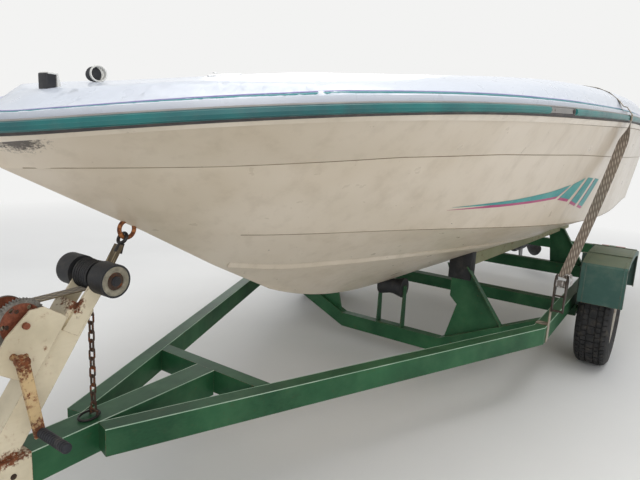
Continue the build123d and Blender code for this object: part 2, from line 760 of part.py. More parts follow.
beam = brick(axle_u - axle_beam_half, axle_u + axle_beam_half, -axle_beam_end_y, axle_beam_end_y,
             axle_beam_top_z - axle_beam_depth, axle_beam_top_z)
spindle_end_y = wheel_y + 25
for side in (1, -1):
    beam += cross_rod(axle_u, axle_z, side * (axle_beam_end_y - 10), side * spindle_end_y, spindle_radius)
save(beam, "axle_beam")

# Wheels: tyre, rim with hub, turning on the spindles
tyre_half = tyre_width / 2
rim_half = rim_width / 2
tyre_side = [(rim_half, rim_radius + 5), (rim_half + 4, rim_radius + 22),
             (tyre_half, tyre_radius - 58), (tyre_half - 4, tyre_radius - 28),
             (tyre_half - 16, tyre_radius - 9), (tyre_half - 30, tyre_radius)]
tyre_profile = [(-y, r) for y, r in tyre_side] + list(reversed(tyre_side))
rim_edge = [(rim_half - 4, rim_radius + 5), (rim_half, rim_radius + 17), (rim_half + 6, rim_radius + 17),
            (rim_half + 2, rim_radius - 2)]
rim_disc = [(rim_half - 22, rim_radius - 5), (rim_half - 30, 112), (rim_half - 36, 84),
            (rim_half - 26, 66), (rim_half - 26, 30), (rim_half - 31, 30), (rim_half - 31, 70),
            (rim_half - 42, 84), (rim_half - 38, 116), (rim_half - 34, rim_radius - 8)]
rim_profile = [(-y, r) for y, r in reversed(rim_edge)] + rim_edge + rim_disc
hub_profile = [(-48, 0), (-48, 44), (20, 50), (32, 62), (rim_half - 31, 62), (rim_half - 31, 30),
               (rim_half - 12, 30), (rim_half - 4, 24), (rim_half - 4, 0)]
wheel_hole_circle = 128
wheel_hole_radius = 14
for side, name in ((1, "left"), (-1, "right")):
    middle = side * wheel_y
    tyre = turned(axle_u, axle_z, [(middle + side * y, r) for y, r in tyre_profile])
    rim = turned(axle_u, axle_z, [(middle + side * y, r) for y, r in rim_profile])
    hub = turned(axle_u, axle_z, [(middle + side * y, r) for y, r in hub_profile])
    wheel = rim + hub
    for number in range(8):
        angle = radians(45 * number)
        hole_u = axle_u + wheel_hole_circle * cos(angle)
        hole_z = axle_z + wheel_hole_circle * sin(angle)
        wheel -= cross_rod(hole_u, hole_z, middle + side * 10, middle + side * 60, wheel_hole_radius)
    wheel -= cross_rod(axle_u, axle_z, side * (wheel_y - 60), side * (spindle_end_y + pin_gap),
                       spindle_radius + pin_gap)
    save(wheel, "rim_" + name)
    save(tyre - rim, "tyre_" + name)

# Fenders: folded sheet on two stays from the rail
def fender_line(shrink):
    half = fender_half_length - shrink
    high = fender_top_z - shrink
    run, drop = fender_shoulder
    return [(axle_u - half, fender_low_z), (axle_u - half, high - drop), (axle_u - half + run, high),
            (axle_u + half - run, high), (axle_u + half, high - drop), (axle_u + half, fender_low_z)]


fender_ring = fender_line(0) + list(reversed(fender_line(fender_sheet)))
skirt_ring = fender_line(0) + list(reversed(fender_line(fender_skirt)))
fender = side_prism(fender_ring, *fender_y)
fender += side_prism(skirt_ring, fender_y[1] - fender_sheet, fender_y[1])
for shift in (-190, 150):
    stay_u = axle_u + shift
    fender += brick(stay_u, stay_u + 40, bend_y, fender_y[0] + fender_sheet, rail_low_z + 10,
                    fender_top_z - fender_sheet)
save(fender, "fender_left")
save(mirrored(fender), "fender_right")

# Bunks follow the bottom, on posts from the dropped member and the rear member
run_u = bunk_end[0] - bunk_start[0]
run_y = bunk_end[1] - bunk_start[1]
run_length = hypot(run_u, run_y)
side_u, side_y = -run_y / run_length, run_u / run_length


def bunk_side(u):
    return bunk_start[1] + (u - bunk_start[0]) * run_y / run_u


def bunk_low(u):
    return low_of(hull_solid, u, bunk_side(u) - bunk_width / 2) - bunk_height


half_width = bunk_width / 2
low_start, low_end = bunk_low(bunk_start[0]), bunk_low(bunk_end[0])
bunk_rise = (low_end - low_start) / run_u
bunk_blank = 160
start_ring = [spot(bunk_start[0], bunk_start[1] + side * half_width, low_start + rise)
              for side, rise in ((-1, 0), (1, 0), (1, bunk_blank), (-1, bunk_blank))]
bunk_face = Face(Wire.make_polygon(start_ring, close=True))
bunk_way = Vector(-run_u, run_y, low_end - low_start)
bunk = extrude(bunk_face, amount=bunk_way.length, dir=bunk_way) - hull_solid
bunk = bunk.solids().sort_by(Axis.Z)[0]
save(one(on_both_sides(bunk)), "bunks")

posts = []
front_u, back_u = dropped_u + post_setback, rear_bar_u + post_setback
post_pad_half = 55
post_pad_rise = 20
front_foot_out = 250
back_foot_out = 210
front_mid = bunk_side(front_u)
front_top = low_start + (front_u - bunk_start[0]) * bunk_rise
member_rise = (frame_top_z - dropped_z) / (inner_y - dropped_flat)


def dropped_top(y):
    """The level of the dropped member's top at a side."""
    return dropped_z + max(0, y - dropped_flat) * member_rise


front_foot = (front_mid + front_foot_out, dropped_top(front_mid + front_foot_out))
front_post_profile = [(front_mid - post_pad_half, front_top + post_pad_rise),
                      (front_mid + post_pad_half, front_top + post_pad_rise), front_foot,
                      (front_mid - 35, dropped_top(front_mid - 35)), (front_mid + 15, front_top - 190),
                      (front_mid - 25, front_top - 150), (front_mid - 25, front_top - 60)]
back_mid = bunk_side(back_u)
back_top = low_start + (back_u - bunk_start[0]) * bunk_rise
back_post_profile = [(back_mid - post_pad_half, back_top + post_pad_rise),
                     (back_mid + post_pad_half, back_top + post_pad_rise),
                     (back_mid + back_foot_out, frame_top_z), (back_mid - 10, frame_top_z),
                     (back_mid - 30, back_top - 60)]
for u, profile in ((front_u, front_post_profile), (back_u, back_post_profile)):
    plate = cross_prism(profile, u, u + post_plate)
    head_y, head_z = profile[1]
    foot_y, foot_z = profile[2]
    flange_ring = [(head_y, head_z), (head_y + 6, head_z), (foot_y + 6, foot_z), (foot_y, foot_z)]
    support = plate + cross_prism(flange_ring, u - 26, u + post_plate) - bunk - dropped_bar - hull_solid
    posts += on_both_sides(support.solids().sort_by(Axis.Z)[0])
save(one(posts), "bunk_posts")

# Keel roller in its cheeks on the dropped member
keel_z = low_of(hull_solid, keel_roller_u, 0)
keel_roller_z = keel_z - roller_gap - keel_roller_mid_radius
roller_side = [(12, keel_roller_mid_radius), (keel_roller_half - 8, keel_roller_end_radius),
               (keel_roller_half, keel_roller_end_radius), (keel_roller_half, bolt_radius + pin_gap)]
roller_profile = [(-y, r) for y, r in reversed(roller_side)] + roller_side
save(turned(keel_roller_u, keel_roller_z, roller_profile), "keel_roller")
cheek = keel_roller_half + 1
cheek_profile = [(keel_roller_u - 24, dropped_z), (keel_roller_u - 16, keel_roller_z + 14),
                 (keel_roller_u + 16, keel_roller_z + 14), (keel_roller_u + 24, dropped_z)]
bracket = cross_rod(keel_roller_u, keel_roller_z, -cheek - 12, cheek + 12, bolt_radius)
bracket += brick(keel_roller_u - 24, keel_roller_u + 24, -cheek - 6, cheek + 6, dropped_z, dropped_z + 6)
for side in (1, -1):
    bracket += side_prism(cheek_profile, side * cheek, side * (cheek + 6))
save(bracket, "roller_bracket")

# Coupler on the tongue's front end
sleeve_wall = 5
coupler_low_z = tongue_low_z
sleeve_half = tongue_half + sleeve_wall
sleeve_length = 130
sleeve_back_u = tongue_front_u + sleeve_length
coupler = brick(tongue_front_u - 20, sleeve_back_u, -sleeve_half, sleeve_half,
                coupler_low_z + 10, frame_top_z + sleeve_wall)
coupler -= brick(tongue_front_u, sleeve_back_u + 1, -tongue_half, tongue_half, coupler_low_z, frame_top_z)
ball_u = coupler_nose_u + coupler_radius
ball_top_z = frame_top_z - 8
sleeve_front_u = tongue_front_u - 10
neck_plan = [(ball_u, -26), (sleeve_front_u, -sleeve_half), (sleeve_front_u, sleeve_half), (ball_u, 26)]
neck = plan_prism(neck_plan, coupler_low_z + 28, frame_top_z - 4)
cup = rod(spot(ball_u, 0, coupler_low_z + 18), spot(ball_u, 0, ball_top_z), coupler_radius)
coupler += neck + cup
ball_low_z = coupler_low_z + 18
coupler -= rod(spot(ball_u, 0, ball_low_z - 1), spot(ball_u, 0, ball_low_z + ball_bore_depth),
               ball_bore_radius)
coupler += brick(ball_u + 40, ball_u + 130, -8, 8, frame_top_z - 10, frame_top_z + 22)
coupler += rod(spot(ball_u + 120, 0, frame_top_z + 18), spot(ball_u + 30, 0, frame_top_z + 45), 9)
save(coupler, "coupler")

# Winch post: a leaning channel on a saddle over the tongue
lean = Vector(-(post_head[0] - post_foot[0]), 0, post_head[1] - post_foot[1]).normalized()
post_front = Vector(lean.Z, 0, -lean.X)
post_origin = spot(post_foot[0], 0, post_foot[1]) + post_front * post_half


def post_spot(along, off, y):
    """A point beside the post: along its lean, off its front face, and to port."""
    return post_origin + lean * along + post_front * off + Vector(0, y, 0)


def post_prism(profile, y0, y1):
    face = Face(Wire.make_polygon([post_spot(along, off, y0) for along, off in profile], close=True))
    return extrude(face, amount=y1 - y0, dir=(0, 1, 0))


post_back = -2 * post_half
post_sink = -80
post_ring = [(post_sink, 0), (post_length, 0), (post_length, post_back), (post_sink, post_back)]
post = post_prism(post_ring, -post_half, post_half)
post -= brick(post_foot[0] - 300, post_foot[0] + 300, -200, 200, 0, frame_top_z)
saddle = brick(post_foot[0] - 95, post_foot[0] + 60, -tongue_half - saddle_plate, tongue_half + saddle_plate,
               coupler_low_z + 15, frame_top_z + saddle_plate)
saddle -= brick(post_foot[0] - 96, post_foot[0] + 61, -tongue_half, tongue_half, 0, frame_top_z)
roller_u, roller_z = bow_roller_at
head_low = post_spot(post_length - 75, -12, 0)
head_back = post_spot(post_length - 75, post_back + 12, 0)
arm_profile = [(bow_x - head_low.X, head_low.Z), (roller_u - 14, roller_z + 12),
               (roller_u + 16, roller_z + 12), (roller_u + 16, roller_z - 20),
               (bow_x - head_back.X, head_back.Z)]
post += saddle
for side in (1, -1):
    arm = side_prism(arm_profile, side * (arm_inner_y - 1), side * (arm_inner_y + arm_plate))
    arm -= cross_rod(roller_u, roller_z, -60, 60, bolt_radius + pin_gap)
    post += arm

# Chain lug on the post's head
chain_u = 268
chain_hole_z = 728
chain_hole_radius = 6.5
lug_profile = [(215, 735), (chain_u - 4, 741), (chain_u + 9, 734), (chain_u + 9, 716), (220, 690)]
lug = side_prism(lug_profile, -3, 3) - cross_rod(chain_u, chain_hole_z, -5, 5, chain_hole_radius)
post += lug
save(post, "winch_post")

# Bow roller: a spool between the arms and a rubber roller outside each
spool_half = arm_inner_y - 2
outer_start = arm_inner_y + arm_plate + 2
roller = cross_rod(roller_u, roller_z, -bow_roller_half - 6, bow_roller_half + 6, bolt_radius)
roller += cross_rod(roller_u, roller_z, -spool_half, spool_half, spool_radius)
for side in (1, -1):
    roller += cross_rod(roller_u, roller_z, side * outer_start, side * bow_roller_half, bow_roller_radius)
    recess_y = side * (bow_roller_half - 6)
    roller -= cross_rod(roller_u, roller_z, recess_y, side * (bow_roller_half + 1), bow_roller_radius - 14)
    roller += cross_rod(roller_u, roller_z, recess_y - side, side * (bow_roller_half + 4), bolt_radius + 5)
save(roller, "bow_roller")

# Winch frame: a web on the post and two side plates
web = post_prism([(170, 0), (345, 0), (345, 5), (170, 5)], -side_plate_y, side_plate_y)
plate_profile = [(170, 0), (170, 84), (186, 112), (250, 116), (325, 98), (345, 70), (345, 0)]
gear_s, gear_n = gear_at
centre_gap = gear_module * (gear_teeth + pinion_teeth) / 2
crank_s = crank_at[0]
crank_n = gear_n - sqrt(max(0, centre_gap ** 2 - (gear_s - crank_s) ** 2))
frame_body = web
for side in (1, -1):
    frame_body += post_prism(plate_profile, side * side_plate_y, side * (side_plate_y - side_plate))
gear_centre = post_spot(gear_s, gear_n, 0)
crank_centre = post_spot(crank_s, crank_n, 0)
crank_shaft_radius = 8
shaft_reach = side_plate_y + 1


def y_rod(centre, y0, y1, radius):
    return cross_rod(bow_x - centre.X, centre.Z, y0, y1, radius)


frame_body -= y_rod(gear_centre, -shaft_reach, shaft_reach, bolt_radius + pin_gap)
frame_body -= y_rod(crank_centre, -shaft_reach, shaft_reach, crank_shaft_radius + pin_gap)
save(frame_body, "winch_frame")


def involute(angle):
    return tan(angle) - angle


def gear_blank(centre, teeth, start_angle, tooth_on_line, y0, y1):
    """A spur gear: each tooth is six points, with its flanks' widths from the involute."""
    pitch = gear_module * teeth / 2
    base = pitch * cos(radians(pressure_angle))
    tip = pitch + 0.9 * gear_module
    root = pitch - 1.2 * gear_module
    half_pitch_angle = pi / (2 * teeth) - tooth_thinning / (2 * pitch)

    def half_angle(radius):
        share = acos_safe(base / max(radius, base))
        return half_pitch_angle + involute(radians(pressure_angle)) - involute(share)

    outline = []
    for number in range(teeth):
        middle = start_angle + 2 * pi * (number + (0 if tooth_on_line else 0.5)) / teeth
        for radius, sign in ((root, -1), (pitch, -1), (tip, -1), (tip, 1), (pitch, 1), (root, 1)):
            angle = middle + sign * half_angle(radius)
            outline.append(Vector(centre.X + radius * cos(angle), y0, centre.Z + radius * sin(angle)))
    return extrude(Face(Wire.make_polygon(outline, close=True)), amount=y1 - y0, dir=(0, 1, 0))


def acos_safe(value):
    return atan2(sqrt(max(0.0, 1 - value * value)), value)


line_angle = atan2(crank_centre.Z - gear_centre.Z, crank_centre.X - gear_centre.X)
face_low, face_high = gear_face
gear = gear_blank(gear_centre, gear_teeth, line_angle, True, face_low, face_high)
drum = gear + y_rod(gear_centre, -side_plate_y + side_plate + 1, face_high, drum_radius)
drum += y_rod(gear_centre, -side_plate_y - 8, side_plate_y + 8, bolt_radius)
drum += y_rod(gear_centre, -side_plate_y + side_plate + 1, -side_plate_y + side_plate + 5, 52)
for number in range(6):
    angle = radians(60 * number)
    hole = Vector(gear_centre.X + 42 * cos(angle), 0, gear_centre.Z + 42 * sin(angle))
    drum -= y_rod(hole, face_low - 1, face_high + 1, 7)
save(drum, "winch_drum")
roll_half = strap_width / 2
roll_y = (-roll_half - 1, roll_half - 1)
strap_roll = y_rod(gear_centre, *roll_y, strap_roll_radius) - y_rod(gear_centre, *roll_y, drum_radius)
save(strap_roll, "strap_roll")

crank = gear_blank(crank_centre, pinion_teeth, line_angle + pi, False, face_low - 1, face_high + 1)
crank += y_rod(crank_centre, -side_plate_y - 8, crank_arm_y[1] + 8, crank_shaft_radius)
crank_end = Vector(crank_centre.X - 30, 0, crank_centre.Z - sqrt(crank_arm_length ** 2 - 30 ** 2))
arm_way = (crank_end - crank_centre).normalized()
arm_side = Vector(-arm_way.Z, 0, arm_way.X)
arm_ring = [crank_centre - arm_way * 14 + arm_side * 15, crank_end + arm_way * 14 + arm_side * 13,
            crank_end + arm_way * 14 - arm_side * 13, crank_centre - arm_way * 14 - arm_side * 15]
arm_face = Face(Wire.make_polygon([corner + Vector(0, crank_arm_y[0], 0) for corner in arm_ring], close=True))
crank += extrude(arm_face, amount=crank_arm_y[1] - crank_arm_y[0], dir=(0, 1, 0))
crank += y_rod(crank_centre, crank_arm_y[0] - 6, crank_arm_y[1] + 6, 15)
crank += y_rod(crank_end, crank_arm_y[0], grip_end_y + 4, 6)
save(crank, "winch_crank")
grip = y_rod(crank_end, crank_arm_y[1] + 6, grip_end_y, grip_radius) - y_rod(crank_end, 0, grip_end_y + 1, 6)
save(grip, "crank_grip")

# Winch strap: off the roll, under the spool and up to the hook in the bow eye
half_thick = strap_thick / 2
roll_reach = strap_roll_radius + half_thick + pin_gap
spool_reach = spool_radius + half_thick + pin_gap
spool_centre = spot(roller_u, 0, roller_z)
eye_centre = spot(eye_u, 0, eye_z)
# The run from the roll's top to the spool's underside crosses between the two
first_way = spool_centre - gear_centre
both_reach = roll_reach + spool_reach
cross_lean = atan2(sqrt(max(0, first_way.length ** 2 - both_reach ** 2)), both_reach)
first_angle = atan2(first_way.Z, first_way.X) - cross_lean
leave = gear_centre + Vector(cos(first_angle), 0, sin(first_angle)) * roll_reach
arrive = spool_centre - Vector(cos(first_angle), 0, sin(first_angle)) * spool_reach
second_way = eye_centre - spool_centre
second_lean = atan2(sqrt(second_way.length ** 2 - spool_reach ** 2), spool_reach)
second_angle = atan2(second_way.Z, second_way.X) + second_lean
depart = spool_centre + Vector(cos(second_angle), 0, sin(second_angle)) * spool_reach
hook_way = (eye_centre - depart).normalized()
hook_centre = eye_centre - hook_way * (eye_ring + hook_ring - hook_wire - eye_wire - hook_gap)
strap_end = hook_centre - hook_way * (hook_ring + hook_wire + hook_gap)
turn_middle = (arrive + depart - spool_centre * 2).normalized()
wrap = spool_centre + turn_middle * spool_reach
strap_turn = Edge.make_three_point_arc(arrive, wrap, depart)
strap_path = Wire([Edge.make_line(leave, arrive), strap_turn, Edge.make_line(depart, strap_end)])
strap_start = Plane(origin=leave, x_dir=(0, 1, 0), z_dir=(arrive - leave))
strap_section = strap_start.location * Rectangle(strap_width - 2, strap_thick)
winch_strap = sweep(strap_section, path=strap_path)
save(winch_strap, "winch_strap")

# Hook ring at the strap's end, through the bow eye
hook_plane = Plane(origin=hook_centre, x_dir=hook_way, z_dir=hook_way.cross(Vector(0, 1, 0)))
save(hook_plane.location * Torus(hook_ring, hook_wire), "strap_hook")

# Safety chain from the post's lug to a staple on the tongue
link_wire = 3
link_inner = 26
link_half_width = 7
chain_gap = 0.3
link_seat = 1.7
link_drop = link_inner - chain_gap
link_count = 12


def chain_link(z, turn):
    """One stadium link with a six-sided wire, hanging in a plane turned about Z."""
    straight = link_inner / 2 - link_half_width + link_wire
    bend_radius = link_half_width
    section = RegularPolygon(link_wire, 6)
    leg_face = Pos(bend_radius, 0, 0) * section
    leg_bar = extrude(leg_face, amount=straight, both=True)
    other_bar = Pos(-2 * bend_radius, 0, 0) * leg_bar
    top_axis = Axis((0, 0, straight), (0, 1, 0))
    low_axis = Axis((0, 0, -straight), (0, 1, 0))
    top_bend = revolve(Pos(bend_radius, 0, straight) * section, axis=top_axis, revolution_arc=-180)
    low_bend = revolve(Pos(bend_radius, 0, -straight) * section, axis=low_axis, revolution_arc=180)
    link = leg_bar + other_bar + top_bend + low_bend
    return Pos(spot(chain_u, 0, z)) * Rot(0, 0, turn) * link


first_link_z = chain_hole_z - chain_hole_radius - link_inner / 2 + link_seat
links = []
for number in range(link_count):
    turn = 90 if number % 2 == 0 else 0
    links.append(chain_link(first_link_z - number * link_drop, turn))
save(one(links), "safety_chain")
staple_z = first_link_z - (link_count - 1) * link_drop - link_inner / 2 + chain_gap + link_wire
staple_half = 16
staple = cross_rod(chain_u, staple_z, -staple_half, staple_half, link_wire)
for side in (1, -1):
    leg_y = side * staple_half
    staple += rod(spot(chain_u, leg_y, frame_top_z), spot(chain_u, leg_y, staple_z + link_wire), link_wire)
save(staple, "chain_staple")

# Jack on the tongue's starboard side: outer tube, bracket, crank and the leg that screws down
jack_y = -(tongue_half + 10 + jack_outer_radius)
outer = rod(spot(jack_u, jack_y, jack_low_z), spot(jack_u, jack_y, jack_top_z), jack_outer_radius)
outer -= rod(spot(jack_u, jack_y, jack_low_z - 1), spot(jack_u, jack_y, jack_top_z - 10),
             jack_inner_radius + jack_wall_gap)
bracket_plate = brick(jack_u - 60, jack_u + 60, -tongue_half, -tongue_half - 8,
                      coupler_low_z + 5, frame_top_z - 5)
collar = brick(jack_u - 20, jack_u + 20, -tongue_half - 8, jack_y, coupler_low_z + 10, frame_top_z - 10)
outer += bracket_plate + (collar - rod(spot(jack_u, jack_y, 0), spot(jack_u, jack_y, 500), jack_outer_radius))
outer += rod(spot(jack_u, jack_y, jack_top_z - 1), spot(jack_u, jack_y, jack_top_z + 22), 10)
outer += rod(spot(jack_u, jack_y, jack_top_z + 18), spot(jack_u - 110, jack_y, jack_top_z + 18), 6)
outer += rod(spot(jack_u - 106, jack_y, jack_top_z + 14), spot(jack_u - 106, jack_y, jack_top_z + 85), 6)
save(outer, "jack_tube")
jack_leg = rod(spot(jack_u, jack_y, jack_foot_thick - 1), spot(jack_u, jack_y, jack_leg_top_z),
               jack_inner_radius)
jack_leg += brick(jack_u - jack_foot_half, jack_u + jack_foot_half,
                  jack_y - jack_foot_half, jack_y + jack_foot_half, 0, jack_foot_thick)
save(jack_leg, "jack_leg")

# Tail lamps on brackets at the rails' ends
lamps = []
for side in (1, -1):
    lamps.append(brick(rail_end_u, rail_end_u + 32, side * (inner_y - 60), side * (bend_y + 70),
                       frame_top_z - 72, frame_top_z - 4))
save(one(lamps), "tail_lamps")

# Tie-down strap: round both rails, up the sides and tight over the foredeck
tie_sides = (0, 250, 450, 600, 680, 740, 800, 860, 910, 950, 972)
ridge = []
for y in tie_sides:
    ridge.append((y, top_of(deck_solid, tie_u, y) + 0.4))
sheer_edge = line(sheer_table, 1, square=True)


def at_station(edge, u):
    """The point of a line at a station, by halving."""
    low, high = 0.0, 1.0
    for _ in range(40):
        middle = (low + high) / 2
        if bow_x - edge.position_at(middle).X < u:
            low = middle
        else:
            high = middle
    return edge.position_at(low)


sheer_point = at_station(sheer_edge, tie_u)
rail_face_y = sheer_point.Y + rail_out + insert_out + 1
ridge.append((sheer_point.Y + 0.6, sheer_point.Z + band_height + 1))
ridge.append((rail_face_y, sheer_point.Z + rail_above))
ridge.append((rail_face_y, sheer_point.Z))


def thicker(points, thick):
    """A line of (side, level) points moved outwards by a thickness."""
    moved = []
    for i, (y, z) in enumerate(points):
        before, after = points[max(i - 1, 0)], points[min(i + 1, len(points) - 1)]
        dy, dz = after[0] - before[0], after[1] - before[1]
        size = hypot(dy, dz)
        moved.append((y - dz / size * thick, z + dy / size * thick))
    return moved


half_ridge = thicker(ridge, tie_thick)
tie_profile = ridge + list(reversed(half_ridge))
over = cross_prism(tie_profile, tie_u - tie_width / 2, tie_u + tie_width / 2)
foot_u, foot_y, foot_z = tie_foot
leg_top = spot(tie_u, rail_face_y + tie_thick / 2, sheer_point.Z + 6)
leg_low = spot(foot_u, foot_y + roll_radius - tie_thick / 2, foot_z)
leg_way = leg_top - leg_low
leg_plane = Plane(origin=leg_low, x_dir=leg_way.cross(Vector(0, 1, 0)), z_dir=leg_way)
upright = (Align.CENTER, Align.CENTER, Align.MIN)
side_leg = leg_plane.location * Box(tie_width, tie_thick, leg_way.length, align=upright)
ratchet_roll = rod(spot(foot_u - tie_width / 2, foot_y, foot_z), spot(foot_u + tie_width / 2, foot_y, foot_z),
                   roll_radius)
loop_gap = 0.3
loop_out = loop_gap + tie_thick
tie_half = tie_width / 2
loop = brick(foot_u - tie_half, foot_u + tie_half, inner_y - loop_out, bend_y + loop_out,
             rail_low_z - loop_out, frame_top_z + loop_out)
loop -= brick(foot_u - tie_width, foot_u + tie_width, inner_y - loop_gap, bend_y + loop_gap,
              rail_low_z - loop_gap, frame_top_z + loop_gap)
far_loop = loop
loop += brick(foot_u - tie_half, foot_u + tie_half, bend_y + loop_gap, bend_y + loop_out, frame_top_z, 486)
far_low = spot(foot_u, -bend_y - loop_gap - tie_thick / 2, frame_top_z - 20)
far_top = spot(tie_u, -leg_top.Y, leg_top.Z)
far_way = far_top - far_low
far_plane = Plane(origin=far_low, x_dir=far_way.cross(Vector(0, 1, 0)), z_dir=far_way)
far_leg = far_plane.location * Box(tie_width, tie_thick, far_way.length, align=upright)
far_leg -= mirrored(rail)
belt = over + mirrored(over) + side_leg + ratchet_roll + far_leg + mirrored(far_loop)
belt = belt - deck_solid - rub_rail - hull_solid
save(one([belt, loop]), "tie_strap")

# Ratchet: two side plates, its bars and a folded handle
ratchet = None
ratchet_ring = [(foot_y - 34, 472), (foot_y - 6, 466), (foot_y + 26, 590), (foot_y + 26, 640),
                (foot_y - 26, 640), (foot_y - 34, 500)]
for side in (-1, 1):
    plate_u = foot_u + side * (tie_width / 2 + 3)
    cheek_plate = cross_prism(ratchet_ring, plate_u - 1.5, plate_u + 1.5)
    ratchet = cheek_plate if ratchet is None else ratchet + cheek_plate
bar_end = tie_width / 2 + 8
low_bar_y = bend_y + loop_gap * 2 + tie_thick + 5
ratchet += rod(spot(foot_u - bar_end, low_bar_y, 484), spot(foot_u + bar_end, low_bar_y, 484), 5)
ratchet += rod(spot(foot_u - bar_end - 6, foot_y, foot_z), spot(foot_u + bar_end + 6, foot_y, foot_z), 9)
save(ratchet - belt - loop, "ratchet")
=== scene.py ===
# Speedboat on its trailer: finishes and soft pieces round the fixed frame, in metres, +X to the bow.
import math

import bmesh
import bpy
from mathutils import Matrix, Vector
from mathutils.bvhtree import BVHTree
from mathutils.kdtree import KDTree


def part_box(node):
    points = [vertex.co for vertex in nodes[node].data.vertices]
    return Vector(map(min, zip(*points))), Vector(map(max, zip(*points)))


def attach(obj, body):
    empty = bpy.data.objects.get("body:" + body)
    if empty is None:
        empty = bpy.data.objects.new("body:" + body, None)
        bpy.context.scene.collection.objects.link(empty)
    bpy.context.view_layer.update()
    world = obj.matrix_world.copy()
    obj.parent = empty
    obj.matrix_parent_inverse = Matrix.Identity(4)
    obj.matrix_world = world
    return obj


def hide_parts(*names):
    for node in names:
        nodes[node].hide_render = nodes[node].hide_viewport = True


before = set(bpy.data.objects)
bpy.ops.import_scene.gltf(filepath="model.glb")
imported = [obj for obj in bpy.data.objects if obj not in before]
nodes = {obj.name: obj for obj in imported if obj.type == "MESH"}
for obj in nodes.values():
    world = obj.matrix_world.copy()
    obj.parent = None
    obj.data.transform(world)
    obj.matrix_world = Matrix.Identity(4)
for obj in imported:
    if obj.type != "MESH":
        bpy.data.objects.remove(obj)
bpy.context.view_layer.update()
print("frame loaded:", len(nodes), "nodes")

mm = 0.001


# small helpers

def linear(hexText):  # sRGB hex to the linear colour that shaders take
    values = [int(hexText[i:i + 2], 16) / 255 for i in (0, 2, 4)]
    return [v / 12.92 if v <= 0.04045 else ((v + 0.055) / 1.055) ** 2.4 for v in values] + [1.0]


def perMetre(sizeMm):  # a pattern's scale from the real size of one of its features
    return 1000.0 / sizeMm


def addNode(tree, kind, inputs=None, stops=None, **settings):
    node = tree.nodes.new(kind)
    for key, value in settings.items():
        setattr(node, key, value)
    for key, value in (inputs or {}).items():
        if isinstance(value, bpy.types.NodeSocket):
            tree.links.new(value, node.inputs[key])
        else:
            node.inputs[key].default_value = value
    if stops:  # colour ramp: (position, grey or hex)
        ramp = node.color_ramp
        for place, _ in stops[1:-1]:
            ramp.elements.new(place)
        for element, (place, value) in zip(ramp.elements, stops):
            element.position = place
            element.color = linear(value) if isinstance(value, str) else (value, value, value, 1.0)
    return node


def newMaterial(name, **shaderValues):
    material = bpy.data.materials.new(name)
    material.use_nodes = True
    tree = material.node_tree
    shader = tree.nodes["Principled BSDF"]
    for key, value in shaderValues.items():
        shader.inputs[key.replace("_", " ")].default_value = value
    coords = addNode(tree, "ShaderNodeTexCoord").outputs["Object"]
    return material, tree, shader, coords


def newPiece(name, bm, material, sharp=40, body="root", replaced=()):
    # an edge that turns by more degrees than sharp stays sharp; with 0 every face is flat
    bmesh.ops.remove_doubles(bm, verts=bm.verts, dist=1e-6)
    mesh = bpy.data.meshes.new(name)
    bm.to_mesh(mesh)
    bm.free()
    for polygon in mesh.polygons:
        polygon.use_smooth = sharp > 0
    if 0 < sharp < 180:
        mesh.set_sharp_from_angle(angle=math.radians(sharp))
    mesh.materials.append(material)
    piece = bpy.data.objects.new(name, mesh)
    bpy.context.scene.collection.objects.link(piece)
    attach(piece, body)
    if replaced:
        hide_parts(*replaced)
    return piece


def meshOf(node):  # a merged copy of a CAD node's mesh
    bm = bmesh.new()
    bm.from_mesh(nodes[node].data)
    bmesh.ops.remove_doubles(bm, verts=bm.verts, dist=1e-5)
    return bm


def treeOf(*objects):  # for rays to the faces of these objects
    bm = bmesh.new()
    for item in objects:
        bm.from_mesh(item.data)
    tree = BVHTree.FromBMesh(bm)
    bm.free()
    return tree


def clamped(value):
    return max(0.0, min(1.0, value))


def eased(share):  # from 0 to 1 with a soft start and end
    return share * share * (3 - 2 * share)


# camera: 30 mm lens beside the bow roller, at the photograph's place and tilt

view = {
    "place": (2.63875, 1.272, 1.20),
    "right": (-0.5657, 0.8229, 0.0520),
    "up": (-0.1282, -0.1502, 0.9803),
    "back": (0.8146, 0.5479, 0.1905),
    "lensMm": 30.375,
    "sensorMm": 36,
}
cameraData = bpy.data.cameras.new("camera")
cameraData.lens = view["lensMm"]
cameraData.sensor_width = view["sensorMm"]
cameraData.clip_start = 0.05
camera = bpy.data.objects.new("camera", cameraData)
axes = Matrix([Vector(view[key]).normalized() for key in ("right", "up", "back")]).transposed()
camera.matrix_world = Matrix.Translation(view["place"]) @ axes.to_4x4()
bpy.context.scene.collection.objects.link(camera)
bpy.context.scene.camera = camera
bpy.context.scene.view_settings.view_transform = "Standard"
print("camera set")


# patterns that several finishes share

def speckMask(tree, coords, gapMm, sizeMm, share):  # sparse dots: one cell in so many holds a dot
    cells = addNode(tree, "ShaderNodeTexVoronoi", {"Vector": coords, "Scale": perMetre(gapMm)})
    near = addNode(tree, "ShaderNodeMath", {0: cells.outputs["Distance"], 1: sizeMm / gapMm},
                   operation="LESS_THAN")
    chosen = addNode(tree, "ShaderNodeMath", {0: cells.outputs["Color"], 1: share}, operation="LESS_THAN")
    both = addNode(tree, "ShaderNodeMath", {0: near.outputs[0], 1: chosen.outputs[0]}, operation="MULTIPLY")
    return both.outputs[0]


